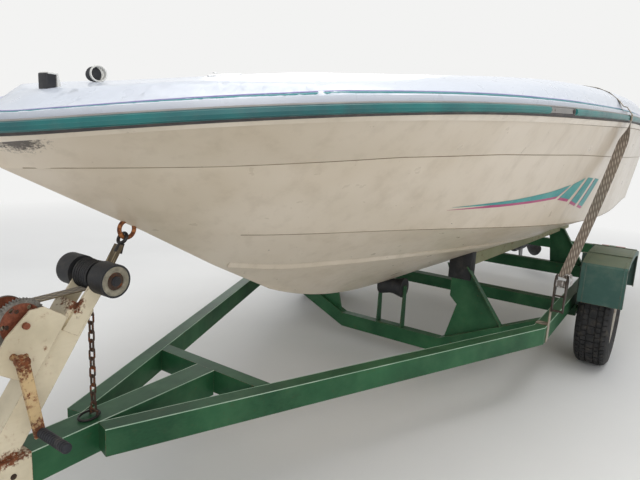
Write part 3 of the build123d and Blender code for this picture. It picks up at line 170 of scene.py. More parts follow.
def edgeMask(tree, radiusMm):  # 1 along edges, 0 on flats
    rounded = addNode(tree, "ShaderNodeBevel", {"Radius": radiusMm * mm}, samples=4)
    surface = addNode(tree, "ShaderNodeNewGeometry")
    same = addNode(tree, "ShaderNodeVectorMath", {0: rounded.outputs[0], 1: surface.outputs["Normal"]},
                   operation="DOT_PRODUCT")
    spread = addNode(tree, "ShaderNodeMapRange", {"Value": same.outputs["Value"], "From Min": 0.985,
                                                  "From Max": 0.80, "To Min": 0.0, "To Max": 1.0})
    return spread.outputs[0]


def noiseRamp(tree, coords, sizeMm, stops, detail=4.0, rough=0.55, squash=(1, 1, 1)):
    placed = addNode(tree, "ShaderNodeMapping", {"Vector": coords, "Scale": squash})
    cloud = addNode(tree, "ShaderNodeTexNoise", {"Vector": placed.outputs[0], "Scale": perMetre(sizeMm),
                                                 "Detail": detail, "Roughness": rough})
    return addNode(tree, "ShaderNodeValToRGB", {"Fac": cloud.outputs["Fac"]}, stops).outputs[0]


def layered(tree, base, *coats):  # each coat is a colour and the masks that it shows through
    for colour, *masks in coats:
        mask = masks[0]
        for other in masks[1:]:
            mask = addNode(tree, "ShaderNodeMath", {0: mask, 1: other}, operation="MULTIPLY").outputs[0]
        colour = linear(colour) if isinstance(colour, str) else colour
        base = addNode(tree, "ShaderNodeMix", {0: mask, 6: base, 7: colour}, data_type="RGBA").outputs[2]
    return base


def surfaced(tree, shader, base, rough, height, depthMm, strength):  # colour, roughness and relief
    tree.links.new(base, shader.inputs["Base Color"])
    if isinstance(rough, bpy.types.NodeSocket):
        tree.links.new(rough, shader.inputs["Roughness"])
    else:
        shader.inputs["Roughness"].default_value = rough
    bump = addNode(tree, "ShaderNodeBump", {"Height": height, "Distance": depthMm * mm, "Strength": strength})
    tree.links.new(bump.outputs[0], shader.inputs["Normal"])


def farFrom(tree, coords, at, half):  # distance from a place, as a share of an ellipsoid's half sizes
    centred = addNode(tree, "ShaderNodeMapping", {"Vector": coords, "Location": [-c for c in at]})
    scaled = addNode(tree, "ShaderNodeVectorMath", {0: centred.outputs[0], 1: [1 / s for s in half]},
                     operation="MULTIPLY")
    return addNode(tree, "ShaderNodeVectorMath", {0: scaled.outputs[0]}, operation="LENGTH").outputs["Value"]


# finishes

def gelcoat(name, look):  # from a polished mould: an even gloss that sun and grime have dulled in patches
    material, tree, shader, coords = newMaterial(name, IOR=1.5, Coat_Weight=look["polish"],
                                                 Coat_Roughness=0.12)
    base = noiseRamp(tree, coords, look["patchMm"], [(0.35, look["clean"]), (0.7, look["dull"])], 3.0)
    streaks = noiseRamp(tree, coords, look["streakMm"], [(0.5, 0.0), (0.8, look["streaks"])], 5.0, 0.6,
                        (1, 1, 0.12))
    smears = noiseRamp(tree, coords, 130, [(0.56, 0.0), (0.78, look["smears"])], 6.0, 0.65)
    dots = speckMask(tree, coords, look["speckGapMm"], look["speckMm"], 0.35)
    base = layered(tree, base, (look["grimeAndShade"], streaks), (look["grimeAndShade"], smears), (look["speck"], dots))
    for stain in look.get("stains", ()):  # a stain is a soft blob with a ragged rim
        ragged = noiseRamp(tree, coords, stain["raggedMm"], [(0.3, 0.0), (0.7, 1.0)], 8.0, 0.75)
        far = farFrom(tree, coords, stain["at"], stain["half"])
        edge = addNode(tree, "ShaderNodeMath", {0: far, 1: ragged}, operation="ADD")
        mask = addNode(tree, "ShaderNodeMapRange", {"Value": edge.outputs[0], "From Min": 1.25,
                                                    "From Max": 0.85, "To Min": 0.0, "To Max": 0.92})
        base = layered(tree, base, (stain["hex"], mask.outputs[0]))
    # painted shade: dark lines along the hull's sharp edges, in the grime colour
    if look.get("lines"):
        base = layered(tree, base, (look["grimeAndShade"], edgeMask(tree, look["lines"]), 0.55))
    rough = noiseRamp(tree, coords, 60, [(0.3, look["rough"]), (0.8, look["rough"] + 0.2)])
    ripple = addNode(tree, "ShaderNodeTexNoise", {"Vector": coords, "Scale": perMetre(260),
                                                     "Detail": 1.0})  # the laminate's print-through
    surfaced(tree, shader, base, rough, ripple.outputs["Fac"], 1.2, look.get("ripple", 0.35))
    return material


rustHexes = {"rustDark": "3A1D10", "rustBright": "8A4A22"}
paintDefaults = {"edgeMm": 3.0, "stain": 0.5, "stainHex": "4D4127", "paleEdge": 0.0, "edgeHex": "FFFFFF",
                 "dust": 0.25, "gloss": 0.5, "topDirt": 0.0, "rustAt": (), **rustHexes}


def paintedSteel(name, look):  # brushed paint over steel: low gloss, chips to rust, worst along edges
    look = {**paintDefaults, **look}
    material, tree, shader, coords = newMaterial(name, IOR=1.5, Specular_IOR_Level=look["gloss"])
    chipMm, start = look["chipMm"], look["chipStart"]
    base = noiseRamp(tree, coords, 180, [(0.35, look["paint"]), (0.72, look["faded"])], 4.0)
    brushed = noiseRamp(tree, coords, 6, [(0.35, 0.0), (0.75, 0.25)], 3.0, 0.5, (0.1, 1, 1))
    rust = noiseRamp(tree, coords, 14, [(0.3, look["rustDark"]), (0.72, look["rustBright"])], 6.0, 0.7)
    ragged = noiseRamp(tree, coords, chipMm, [(0.42, 0.0), (0.60, 1.0)], 7.0, 0.7)
    edges = addNode(tree, "ShaderNodeMath", {0: edgeMask(tree, look["edgeMm"]), 1: ragged},
                    operation="MULTIPLY")
    spots = noiseRamp(tree, coords, chipMm * 1.7, [(start, 0.0), (start + 0.03, 1.0)], 8.0, 0.72)
    zones = noiseRamp(tree, coords, look["zoneMm"], [(0.42, 0.0), (0.62, 1.0)], 2.0)
    spots = addNode(tree, "ShaderNodeMath", {0: spots, 1: zones}, operation="MULTIPLY").outputs[0]
    halo = noiseRamp(tree, coords, chipMm * 1.7, [(start - 0.09, 0.0), (start, 0.55)], 8.0, 0.72)
    # the pale coat along the edges is a painted highlight on the trailer green, and worn paint on the other
    # paints
    base = layered(tree, base, (look["faded"], brushed), (look["stainHex"], halo, zones, look["stain"]),
                   (look["edgeHex"], edgeMask(tree, look["edgeMm"] * 0.5), look["paleEdge"]))
    for at, half in look["rustAt"]:  # rust gathered about a place
        far = farFrom(tree, coords, at, half)
        edge = addNode(tree, "ShaderNodeMath", {0: far, 1: ragged}, operation="SUBTRACT")
        mask = addNode(tree, "ShaderNodeMapRange", {"Value": edge.outputs[0], "From Min": 0.75,
                                                    "From Max": 0.1, "To Min": 0.0, "To Max": 1.0})
        both = addNode(tree, "ShaderNodeMath", {0: spots, 1: mask.outputs[0]}, operation="MAXIMUM")
        spots = both.outputs[0]
    worn = addNode(tree, "ShaderNodeMath", {0: spots, 1: edges.outputs[0]}, operation="MAXIMUM").outputs[0]
    base = layered(tree, base, (rust, worn))
    dust = noiseRamp(tree, coords, 90, [(0.45, 0.0), (0.85, look["dust"])], 5.0, 0.6)
    base = layered(tree, base, ("8A8172", dust))
    if look["topDirt"]:  # dirt that lies on what faces up
        surface = addNode(tree, "ShaderNodeNewGeometry")
        facing = addNode(tree, "ShaderNodeSeparateXYZ", {0: surface.outputs["Normal"]})
        up = addNode(tree, "ShaderNodeMapRange", {"Value": facing.outputs["Z"], "From Min": 0.55,
                                                  "From Max": 0.95})
        dirt = noiseRamp(tree, coords, 60, [(0.25, look["topDirt"] * 0.6), (0.7, look["topDirt"])], 5.0, 0.65)
        base = layered(tree, base, ("666A4C", up.outputs[0], dirt))
    gloss = addNode(tree, "ShaderNodeMapRange", {"Value": worn, "To Min": look["rough"], "To Max": 0.85})
    proud = addNode(tree, "ShaderNodeMath", {0: 1.0, 1: worn}, operation="SUBTRACT")
    surfaced(tree, shader, base, gloss.outputs[0], proud.outputs[0], 0.35, 0.6)
    return material


def bareMetal(name, look):  # bare or plated metal, dulled by oxide and rust
    look = {**rustHexes, **look}
    material, tree, shader, coords = newMaterial(name, Metallic=look["metallic"])
    base = noiseRamp(tree, coords, 25, [(0.35, look["bright"]), (0.75, look["dull"])], 5.0)
    rust = noiseRamp(tree, coords, 9, [(0.3, look["rustDark"]), (0.7, look["rustBright"])], 6.0, 0.7)
    start = look["rustStart"]
    patches = noiseRamp(tree, coords, look["patchMm"], [(start, 0.0), (start + 0.1, 1.0)], 7.0, 0.7)
    base = layered(tree, base, (rust, patches))
    rough = addNode(tree, "ShaderNodeMapRange", {"Value": patches, "To Min": look["rough"], "To Max": 0.8})
    fine = addNode(tree, "ShaderNodeTexNoise", {"Vector": coords, "Scale": perMetre(2.5), "Detail": 3.0})
    surfaced(tree, shader, base, rough.outputs[0], fine.outputs["Fac"], 0.15, 0.5)
    return material


def mouldedSkin(name, look):  # rubber or plastic: a fine grain, dust in the hollows, scuffs on the edges
    material, tree, shader, coords = newMaterial(name, IOR=1.48)
    base = noiseRamp(tree, coords, look["patchMm"], [(0.35, look["dark"]), (0.75, look["light"])], 5.0)
    dust = noiseRamp(tree, coords, 40, [(0.5, 0.0), (0.8, look["dust"])], 6.0, 0.65)
    base = layered(tree, base, (look["dustHex"], dust),
                   (look["scuffHex"], edgeMask(tree, 1.5), look["scuff"]))
    rough = noiseRamp(tree, coords, 30, [(0.3, look["rough"]), (0.8, look["rough"] + 0.15)])
    grain = addNode(tree, "ShaderNodeTexVoronoi", {"Vector": coords, "Scale": perMetre(look["grainMm"])})
    surfaced(tree, shader, base, rough, grain.outputs["Distance"], look["grainDepthMm"], 0.5)
    return material


def wovenWebbing(name, look):  # cords along the strap, crossed by the weft, some of them pale
    material, tree, shader, coords = newMaterial(name, IOR=1.5, Sheen_Weight=0.3, Sheen_Roughness=0.5)
    along = addNode(tree, "ShaderNodeTexWave",
                    {"Vector": coords, "Scale": perMetre(look["pickMm"]) / math.tau, "Distortion": 0.6,
                     "Detail": 1.0},
                    wave_type="BANDS", bands_direction="DIAGONAL", wave_profile="SIN")
    across = addNode(tree, "ShaderNodeTexWave", {"Vector": coords,
                                                 "Scale": perMetre(look["cordMm"]) / math.tau},
                     wave_type="BANDS", bands_direction=look["across"], wave_profile="SIN")
    cells = addNode(tree, "ShaderNodeMath", {0: along.outputs["Fac"], 1: across.outputs["Fac"]},
                    operation="MULTIPLY")
    weave = addNode(tree, "ShaderNodeValToRGB", {"Fac": cells.outputs[0]},
                    [(0.15, look["shade"]), (0.5, look["yarn"]), (0.8, look["pale"])])
    soil = noiseRamp(tree, coords, 55, [(0.4, 0.0), (0.75, 0.45)], 5.0)
    base = layered(tree, weave.outputs[0], (look["soil"], soil))
    surfaced(tree, shader, base, 0.9, cells.outputs[0], 0.6, 0.8)
    return material


def marineVinyl(name, look):  # coated fabric on foam: leather print, soft sheen, soil along the folds
    material, tree, shader, coords = newMaterial(name, IOR=1.5, Coat_Weight=0.08, Coat_Roughness=0.35)
    base = noiseRamp(tree, coords, 160, [(0.35, look["main"]), (0.75, look["faded"])], 4.0)
    soil = noiseRamp(tree, coords, 70, [(0.55, 0.0), (0.85, 0.35)], 5.0)
    base = layered(tree, base, (look["soil"], soil))
    pores = addNode(tree, "ShaderNodeTexVoronoi", {"Vector": coords, "Scale": perMetre(2.2)})
    surfaced(tree, shader, base, 0.48, pores.outputs["Distance"], 0.12, 0.5)
    return material


def paintedFilm(name, look):  # cut vinyl film or a coach line: flat colour, faded and scuffed in patches
    material, tree, shader, coords = newMaterial(name, IOR=1.48)
    base = noiseRamp(tree, coords, 120, [(0.35, look["main"]), (0.75, look["faded"])], 4.0)
    scuffs = noiseRamp(tree, coords, 18, [(0.62, 0.0), (0.74, look["scuff"])], 6.0, 0.7)
    base = layered(tree, base, (look["under"], scuffs))
    tree.links.new(base, shader.inputs["Base Color"])
    rough = noiseRamp(tree, coords, 40, [(0.3, look["rough"]), (0.8, look["rough"] + 0.15)])
    tree.links.new(rough, shader.inputs["Roughness"])
    return material


def made(maker, columns, *rows):  # one material a row: its name, then a value for each column
    return [maker(row[0], dict(zip(columns.split(), row[1:]))) for row in rows]


hullGelcoat = gelcoat("cream polyester gelcoat", {
    "clean": "DACDBB", "dull": "CDBEA8", "grimeAndShade": "8A7558", "speck": "4A3D30", "patchMm": 520, "streakMm": 55,
    "streaks": 0.22, "smears": 0.16, "speckGapMm": 85, "speckMm": 2.2, "rough": 0.27, "polish": 0.25,
    # lines: the width in mm of the painted shade along sharp edges
    "lines": 5,
    "stains": [{"at": (2.055, 0.100, 1.152), "half": (0.070, 0.105, 0.034), "raggedMm": 9, "hex": "2C1E15"}]})
# painted light: a lighter copy of the hull's gelcoat for the lit lip under the rail
litLipGelcoat = gelcoat("hull gelcoat lightened as painted light on the lip", {
    "clean": "E6DACA", "dull": "D8CBB8", "grimeAndShade": "8A7558", "speck": "4A3D30", "patchMm": 300, "streakMm": 40,
    "streaks": 0.2, "smears": 0.2, "speckGapMm": 60, "speckMm": 2.5, "rough": 0.27, "polish": 0.25})
deckGelcoat = gelcoat("pale blue-white gelcoat", {
    "clean": "D6DBE4", "dull": "CAD1DC", "grimeAndShade": "9A978F", "speck": "55504A", "patchMm": 700, "streakMm": 70,
    "streaks": 0.02, "smears": 0.03, "speckGapMm": 70, "speckMm": 2.0, "rough": 0.24, "polish": 0.3,
    "ripple": 0.05})
shellGelcoat = gelcoat("moulded white shell", {
    "clean": "E4E3DE", "dull": "D6D4CC", "grimeAndShade": "8F8878", "speck": "5B544A", "patchMm": 200, "streakMm": 40,
    "streaks": 0.12, "smears": 0.15, "speckGapMm": 60, "speckMm": 1.5, "rough": 0.35, "polish": 0.1})
railRubber, tealInsert, blackMoulding, rollerRubber, palePolyurethane, tyreRubber, gripRubber = made(
    mouldedSkin, "dark light patchMm dust dustHex scuff scuffHex rough grainMm grainDepthMm",
    ("aged PVC fender section", "2E2B2C", "4A4443", 60, 0.35, "7A6E62", 0.35, "8C8781", 0.5, 1.5, 0.08),
    ("teal vinyl insert", "14575A", "22807B", 240, 0.25, "5E6B66", 0.5, "9FB7B2", 0.3, 3, 0.05),
    ("grained black ABS", "15161A", "22242A", 80, 0.3, "6A645C", 0.3, "5C5C5E", 0.5, 1.6, 0.15),
    ("black roller rubber", "121315", "25262A", 30, 0.35, "5F584E", 0.25, "6D675E", 0.55, 2, 0.12),
    ("worn pale roller ring", "6F6A5C", "9A9482", 14, 0.6, "5A4632", 0.4, "B7B19E", 0.6, 1.5, 0.15),
    ("worn tyre rubber", "17181A", "2B2B2C", 45, 0.5, "6B6154", 0.15, "77706A", 0.75, 2, 0.1),
    ("ribbed grip rubber", "14161C", "23262E", 20, 0.3, "6A6258", 0.4, "55575C", 0.6, 1.5, 0.1))
# its pale line along the edges is a painted highlight
frameGreen = paintedSteel("dark green trailer paint", {
    "paint": "1C462C", "faded": "2F6440", "chipMm": 16, "chipStart": 0.66, "zoneMm": 420, "paleEdge": 0.55,
    "edgeHex": "A3BFA8", "rough": 0.45, "dust": 0.08, "gloss": 0.25})
fenderGreen = paintedSteel("teal-green fender paint", {
    "paint": "264B44", "faded": "3B6055", "chipMm": 18, "chipStart": 0.68, "edgeMm": 4.0, "zoneMm": 300,
    "paleEdge": 0.45, "edgeHex": "A5A58C", "rough": 0.5, "topDirt": 0.75})
winchCream = paintedSteel("cream winch paint", {
    "paint": "D9CDB2", "faded": "C9BC9E", "chipMm": 11, "chipStart": 0.63, "zoneMm": 130, "stain": 0.8,
    "stainHex": "A06A3A", "rough": 0.42,
    "rustAt": [((1.895, 0.03, 0.745), (0.018, 0.05, 0.022)), ((2.10, 0.04, 0.405), (0.09, 0.08, 0.014))]})
ochreCrank = paintedSteel("ochre crank paint over rust", {
    "paint": "CDB183", "faded": "B79B6C", "chipMm": 8, "chipStart": 0.55, "zoneMm": 60, "stain": 0.9,
    "stainHex": "9A5E2C", "rough": 0.55, "dust": 0.2,
    "rustAt": [((2.0603, 0.09, 0.6615), (0.035, 0.05, 0.035)), ((2.0303, 0.09, 0.477), (0.03, 0.05, 0.03))]})
rimPaint = paintedSteel("pale wheel paint", {
    "paint": "BDB9AE", "faded": "A7A296", "chipMm": 12, "chipStart": 0.58, "edgeMm": 4.0, "zoneMm": 120,
    "stain": 0.9, "stainHex": "83552F", "rough": 0.5, "dust": 0.4})
driveEnamel = paintedSteel("black drive enamel", {
    "paint": "1B1D21", "faded": "30343A", "chipMm": 12, "chipStart": 0.67, "zoneMm": 160, "stain": 0.2,
    "stainHex": "50504C", "paleEdge": 0.35, "edgeHex": "7F8284", "rough": 0.33, "rustDark": "6F7274",
    "rustBright": "A0A3A5"})
engineEnamel = paintedSteel("grey engine enamel", {
    "paint": "34373B", "faded": "4A4E53", "chipMm": 14, "chipStart": 0.62, "zoneMm": 150, "stain": 0.6,
    "stainHex": "3A3026", "paleEdge": 0.2, "edgeHex": "70736F", "rough": 0.45, "dust": 0.4})
bunkPaint = paintedSteel("olive paint on a bunk timber", {
    "paint": "8E9070", "faded": "A3A283", "chipMm": 14, "chipStart": 0.6, "edgeMm": 6.0, "zoneMm": 200,
    "stain": 0.8, "stainHex": "5C4A2C", "rough": 0.8, "dust": 0.35,
    "rustAt": [((-0.14, 0.40, 0.665), (0.16, 0.10, 0.02))], "rustDark": "43240F", "rustBright": "9A4F1E"})
zincSteel, rustyIron, orangeRust, blackIron = made(
    bareMetal, "bright dull patchMm rustStart rough metallic",
    ("dull zinc plate", "8B8880", "5F5B54", 28, 0.46, 0.45, 0.75),
    ("rusty chain steel", "4A3B31", "35271E", 18, 0.5, 0.7, 0.35),
    ("rusty steel ring", "B0703C", "7A4526", 12, 0.45, 0.6, 0.3),
    ("blackened iron", "2E2C2B", "1D1C1C", 12, 0.6, 0.5, 0.5))
stainless, castAlloy, ratchetSteel = made(
    bareMetal, "bright dull patchMm rustStart rough metallic rustDark rustBright",
    ("stainless bar, rust-stained", "C6C4BF", "A3A09A", 20, 0.62, 0.22, 1.0, "5A2E16", "C07838"),
    ("polished cast alloy", "B4B6B8", "8D9092", 30, 0.8, 0.3, 1.0, "6B6B68", "8C8C88"),
    ("oily rusted ratchet plate", "4C4139", "2E2620", 14, 0.56, 0.6, 0.4, "2A1C14", "54392A"))
tieWebbing, tiePortWebbing, greyWebbing, winchWebbing = made(
    wovenWebbing, "pickMm cordMm across shade yarn pale soil",
    ("beige patterned tie-down webbing", 9, 6, "X", "6E604A", "A39478", "D8CDB4", "6A5A42"),
    ("soiled patterned webbing", 4.5, 5, "Y", "7A6E62", "9E9286", "BDB2A5", "7A6E60"),
    ("grey webbing roll", 8, 6, "Y", "77706A", "A9A4A0", "CFCBC8", "6F6860"),
    ("soiled winch webbing", 7, 5, "Y", "5F5138", "8F7F60", "B5A684", "4E402A"))
seatVinyl = marineVinyl("off-white marine vinyl", {"main": "D9D4C5", "faded": "CDC6B3", "soil": "8C8068"})
tealFilm, magentaFilm, lilacStripe, tealStripe, creaseShade, edgeHighlight, greyPrimer = made(
    paintedFilm, "main faded scuff under rough",
    ("faded teal vinyl film", "2F8C8C", "4FA09C", 0.5, "D8CDB8", 0.35),
    ("faded magenta vinyl film", "A8386C", "B85A80", 0.5, "D8CDB8", 0.35),
    ("lilac coach line", "8F86B8", "A79FC6", 0.4, "E2E6EC", 0.3),
    ("teal coach line", "3E8F90", "62A3A2", 0.4, "E2E6EC", 0.3),
    # painted shade: dark strips along the hull's creases and under the lip
    ("grime held in a moulded crease", "7A6A54", "9A8A70", 0.3, "CFC2A9", 0.55),
    # painted highlight: pale strips along the frame beams' upper edges
    ("paint rubbed pale along an edge", "8FB096", "BFD0BE", 0.8, "2F5A3C", 0.5),
    ("grey PVC insert base", "8D8B88", "A5A29C", 0.5, "5C5855", 0.6))


def gearAndDrum(name, look):  # machined steel teeth round a web in red oxide
    material, tree, shader, coords = newMaterial(name, Metallic=0.35)
    teeth = noiseRamp(tree, coords, 10, [(0.3, look["teethDark"]), (0.7, look["teeth"])], 6.0, 0.7)
    web = noiseRamp(tree, coords, 9, [(0.3, look["webDark"]), (0.7, look["web"])], 6.0, 0.7)
    centred = addNode(tree, "ShaderNodeMapping", {"Vector": coords, "Location": [-c for c in look["centre"]],
                                                  "Scale": (1, 0, 1)})
    far = addNode(tree, "ShaderNodeVectorMath", {0: centred.outputs[0]}, operation="LENGTH")
    inside = addNode(tree, "ShaderNodeMath", {0: far.outputs["Value"], 1: look["webRadius"]},
                     operation="LESS_THAN")
    base = layered(tree, teeth, (web, inside.outputs[0]))
    rough = noiseRamp(tree, coords, 12, [(0.3, 0.45), (0.8, 0.75)])
    fine = addNode(tree, "ShaderNodeTexNoise", {"Vector": coords, "Scale": perMetre(3), "Detail": 3.0})
    surfaced(tree, shader, base, rough, fine.outputs["Fac"], 0.2, 0.6)
    return material


gearSteel = gearAndDrum("grey gear steel with red oxide", {
    "teeth": "8C8880", "teethDark": "4E4A44", "web": "93543B", "webDark": "5A2E1E",
    "centre": (2.028967, 0, 0.729681), "webRadius": 0.050})


def ribbedLens(name, look):  # clear red acrylic with prism ribs moulded inside
    material, tree, shader, coords = newMaterial(name, IOR=1.49, Coat_Weight=0.4, Coat_Roughness=0.08)
    base = noiseRamp(tree, coords, 40, [(0.35, look["red"]), (0.75, look["deep"])], 3.0)
    dust = noiseRamp(tree, coords, 25, [(0.55, 0.0), (0.85, 0.3)], 5.0)
    base = layered(tree, base, ("8A7F70", dust))
    ribs = addNode(tree, "ShaderNodeTexWave", {"Vector": coords, "Scale": perMetre(look["ribMm"]) / math.tau},
                   wave_type="BANDS", bands_direction="Y", wave_profile="SIN")
    surfaced(tree, shader, base, 0.22, ribs.outputs["Fac"], 0.6, 0.6)
    return material


lampLens = ribbedLens("red acrylic lamp lens", {"red": "A81818", "deep": "7A0E10", "ribMm": 6})
print("materials made")


# shaping helpers

def swept(bm, stations, profile):  # a profile carried along stations of (place, side, out)
    rows, columns = len(stations) - 1, len(profile) - 1
    made = bmesh.ops.create_grid(bm, x_segments=rows, y_segments=columns, size=1.0)["verts"]
    for v in made:
        place, side, out = stations[round((v.co.x + 1) / 2 * rows)]
        across, up = profile[round((v.co.y + 1) / 2 * columns)]
        v.co = place + side * across + out * up
    return made


def closed(bm):  # welds the seam, fills the ends and turns the faces outward
    bmesh.ops.remove_doubles(bm, verts=bm.verts, dist=1e-6)
    bmesh.ops.holes_fill(bm, edges=[e for e in bm.edges if e.is_boundary], sides=0)
    bmesh.ops.recalc_face_normals(bm, faces=bm.faces)
    return bm


def evenly(points, pitch):  # the same line with points at an even pitch
    lengths = [0.0]
    for a, b in zip(points, points[1:]):
        lengths.append(lengths[-1] + (b - a).length)
    count = max(2, round(lengths[-1] / pitch))
    found, at = [], 0
    for i in range(count + 1):
        want = lengths[-1] * i / count
        while at < len(points) - 2 and lengths[at + 1] < want:
            at += 1
        span = lengths[at + 1] - lengths[at] or 1.0
        found.append(points[at].lerp(points[at + 1], (want - lengths[at]) / span))
    return found


def slope(line, i):  # from the point before to the point after
    return line[min(i + 1, len(line) - 1)] - line[max(i - 1, 0)]


def stationsOf(spots, flip=1):  # spots of (place, normal), each with the direction across their line
    places = [place for place, _ in spots]
    return [(place, slope(places, i).cross(normal).normalized() * flip, normal)
            for i, (place, normal) in enumerate(spots)]


def laidOn(tree, points, flip=1):  # stations on a surface, under the points of a line
    return stationsOf([tree.find_nearest(p)[:2] for p in points], flip)


def slab(half, low, high):  # a flat section
    return [(-half, low), (-half, high), (half, high), (half, low), (-half, low)]


def bar(halfWidth, height, sunk=0.5 * mm):  # a low closed section for a strip on a surface
    return [(-halfWidth, -sunk), (-halfWidth, height * 0.6), (-halfWidth * 0.7, height),
            (halfWidth * 0.7, height), (halfWidth, height * 0.6), (halfWidth, -sunk), (-halfWidth, -sunk)]


def circle(radius, count=12):
    return [(radius * math.cos(math.tau * i / count), radius * math.sin(math.tau * i / count))
            for i in range(count + 1)]


def pipeAlong(bm, points, radius, count=10, loop=False):  # a round section along a line
    line = points + [points[0]] if loop else points
    stations = []
    side = None
    for i, place in enumerate(line):
        before = line[i - 1] if i else (line[-2] if loop else line[0])
        after = line[i + 1] if i + 1 < len(line) else (line[1] if loop else line[-1])
        ahead = (after - before).normalized()
        if side is None:
            side = ahead.orthogonal().normalized()
        side = (side - ahead * side.dot(ahead)).normalized()
        stations.append((place, side, ahead.cross(side)))
    if loop:  # the last ring meets the first
        stations[-1] = stations[0]
    swept(bm, stations, circle(radius, count))


def turnedTo(place, way):  # a matrix that stands a shape at a place with its Z along a direction
    turn = Vector((0, 0, 1)).rotation_difference(Vector(way))
    return Matrix.Translation(Vector(place)) @ turn.to_matrix().to_4x4()


def sliced(bm, cuts):  # finer faces, cut along planes of (place, normal)
    for place, normal in cuts:
        bmesh.ops.bisect_plane(bm, geom=bm.verts[:] + bm.edges[:] + bm.faces[:], plane_co=place,
                               plane_no=normal)


def bevelled(bm, roundMm, segments=2):
    bmesh.ops.bevel(bm, geom=bm.edges[:], offset=roundMm * mm, offset_type="OFFSET", segments=segments,
                    profile=0.5, affect="EDGES", material=-1)


def addBox(bm, centre, size):
    at = Matrix.Translation(centre) @ Matrix.Diagonal((*size, 1))
    return bmesh.ops.create_cube(bm, size=1.0, matrix=at)["verts"]


def addDisc(bm, at, radius, endRadius, depth, segments):  # a disc or cone about the matrix's Z
    bmesh.ops.create_cone(bm, cap_ends=True, segments=segments, radius1=radius, radius2=endRadius,
                          depth=depth, matrix=at)


def spun(bm, outline, steps, axis=(0, 1, 0), ring=True):  # an outline turned once about an axis
    verts = [bm.verts.new(p) for p in outline]
    edges = [bm.edges.new(pair) for pair in zip(verts, verts[1:] + verts[:1] if ring else verts[1:])]
    bmesh.ops.spin(bm, geom=verts + edges, cent=(0, 0, 0), axis=axis, angle=math.tau, steps=steps,
                   use_merge=True, use_duplicate=False)
    bmesh.ops.recalc_face_normals(bm, faces=bm.faces)


def thickened(bm, outline, way):  # a flat outline drawn out to a plate
    flat = bm.faces.new([bm.verts.new(p) for p in outline])
    grown = bmesh.ops.extrude_face_region(bm, geom=[flat])["geom"]
    bmesh.ops.translate(bm, verts=[g for g in grown if isinstance(g, bmesh.types.BMVert)], vec=way)


def around(centre, radius, count, start=0.0):  # points on a ring about an axis along Y
    turns = [math.tau * (i + start) / count for i in range(count)]
    return [centre + Vector((radius * math.cos(t), 0, radius * math.sin(t))) for t in turns]


def boltHead(bm, place, way, sizeMm, domed=False):  # washer and head, and the bolt's end unless it is domed
    at = turnedTo(place, way)
    tall = sizeMm * (0.35 if domed else 0.55) * mm
    addDisc(bm, at, sizeMm * 0.95 * mm, sizeMm * 0.92 * mm, 2.4 * mm, 24)
    addDisc(bm, at @ Matrix.Translation((0, 0, 1 * mm + tall / 2)), sizeMm * 0.58 * mm,
            sizeMm * (0.30 if domed else 0.52) * mm, tall, 20 if domed else 6)
    if not domed:
        addDisc(bm, at @ Matrix.Translation((0, 0, 1 * mm + tall * 1.2)), sizeMm * 0.28 * mm,
                sizeMm * 0.22 * mm, tall * 0.6, 12)


def boltsOn(name, node, shots, sizeMm, material, body="root", domed=False):
    bm = bmesh.new()
    tree = treeOf(nodes[node])
    for origin, way in shots:  # a bolt stands where a ray from the origin meets the node
        place, normal, _, _ = tree.ray_cast(Vector(origin), Vector(way))
        if place is None:
            print("no ground for", name, origin)
        else:
            boltHead(bm, place, normal, sizeMm, domed)
    newPiece(name, bm, material, 30, body)


def sharpLines(node, degrees, shortest=1.0):  # the node's long creases, longest first
    bm = meshOf(node)
    sharp = {e for e in bm.edges if len(e.link_faces) == 2 and e.calc_face_angle(0) > math.radians(degrees)}
    found = []
    while sharp:
        edge = min(sharp, key=lambda e: e.index)
        sharp.discard(edge)
        chain = [edge.verts[0], edge.verts[1]]
        for _ in range(2):
            chain.reverse()
            while True:
                tip, before = chain[-1], chain[-2]
                way = (tip.co - before.co).normalized()
                best = max((e for e in tip.link_edges if e in sharp),
                           key=lambda e: (e.other_vert(tip).co - tip.co).normalized().dot(way), default=None)
                if best is None or (best.other_vert(tip).co - tip.co).normalized().dot(way) < 0.7:
                    break
                sharp.discard(best)
                chain.append(best.other_vert(tip))
        points = [v.co.copy() for v in chain]
        length = sum((b - a).length for a, b in zip(points, points[1:]))
        if length > shortest:
            found.append((length, points))
    bm.free()
    return sorted(found, key=lambda f: -f[0])


# carried-over nodes take their finishes

for material, names in (
        (hullGelcoat, "hull"), (deckGelcoat, "engine_hatch"), (shellGelcoat, "front_seats"),
        (railRubber, "rub_rail"), (tealInsert, "rub_rail_insert"), (engineEnamel, "engine_block"),
        (blackMoulding, "dash throttle steering_wheel"), (orangeRust, "bow_eye"), (blackIron, "strap_hook"),
        (driveEnamel, "transom_shield gimbal_ring drive_leg propeller ram_barrels"), (stainless, "ram_rods"),
        (frameGreen, "tongue rail_left rail_right cross_members dropped_member"),
        (frameGreen, "axle_beam bunk_posts roller_bracket"), (zincSteel, "coupler jack_tube jack_leg"),
        (winchCream, "winch_post winch_frame"), (gearSteel, "winch_drum"), (ochreCrank, "winch_crank"),
        (rustyIron, "safety_chain chain_staple"), (rimPaint, "rim_left rim_right"),
        (rollerRubber, "keel_roller bow_roller"), (winchWebbing, "winch_strap strap_roll"),
        (lampLens, "tail_lamps")):
    for node in names.split():  # a CAD node keeps its shape
        data = nodes[node].data
        data.materials.clear()
        data.materials.append(material)
print("carried-over nodes finished")


# deck: the moulding with its ledge a little lower and its nose rounded down to the stem

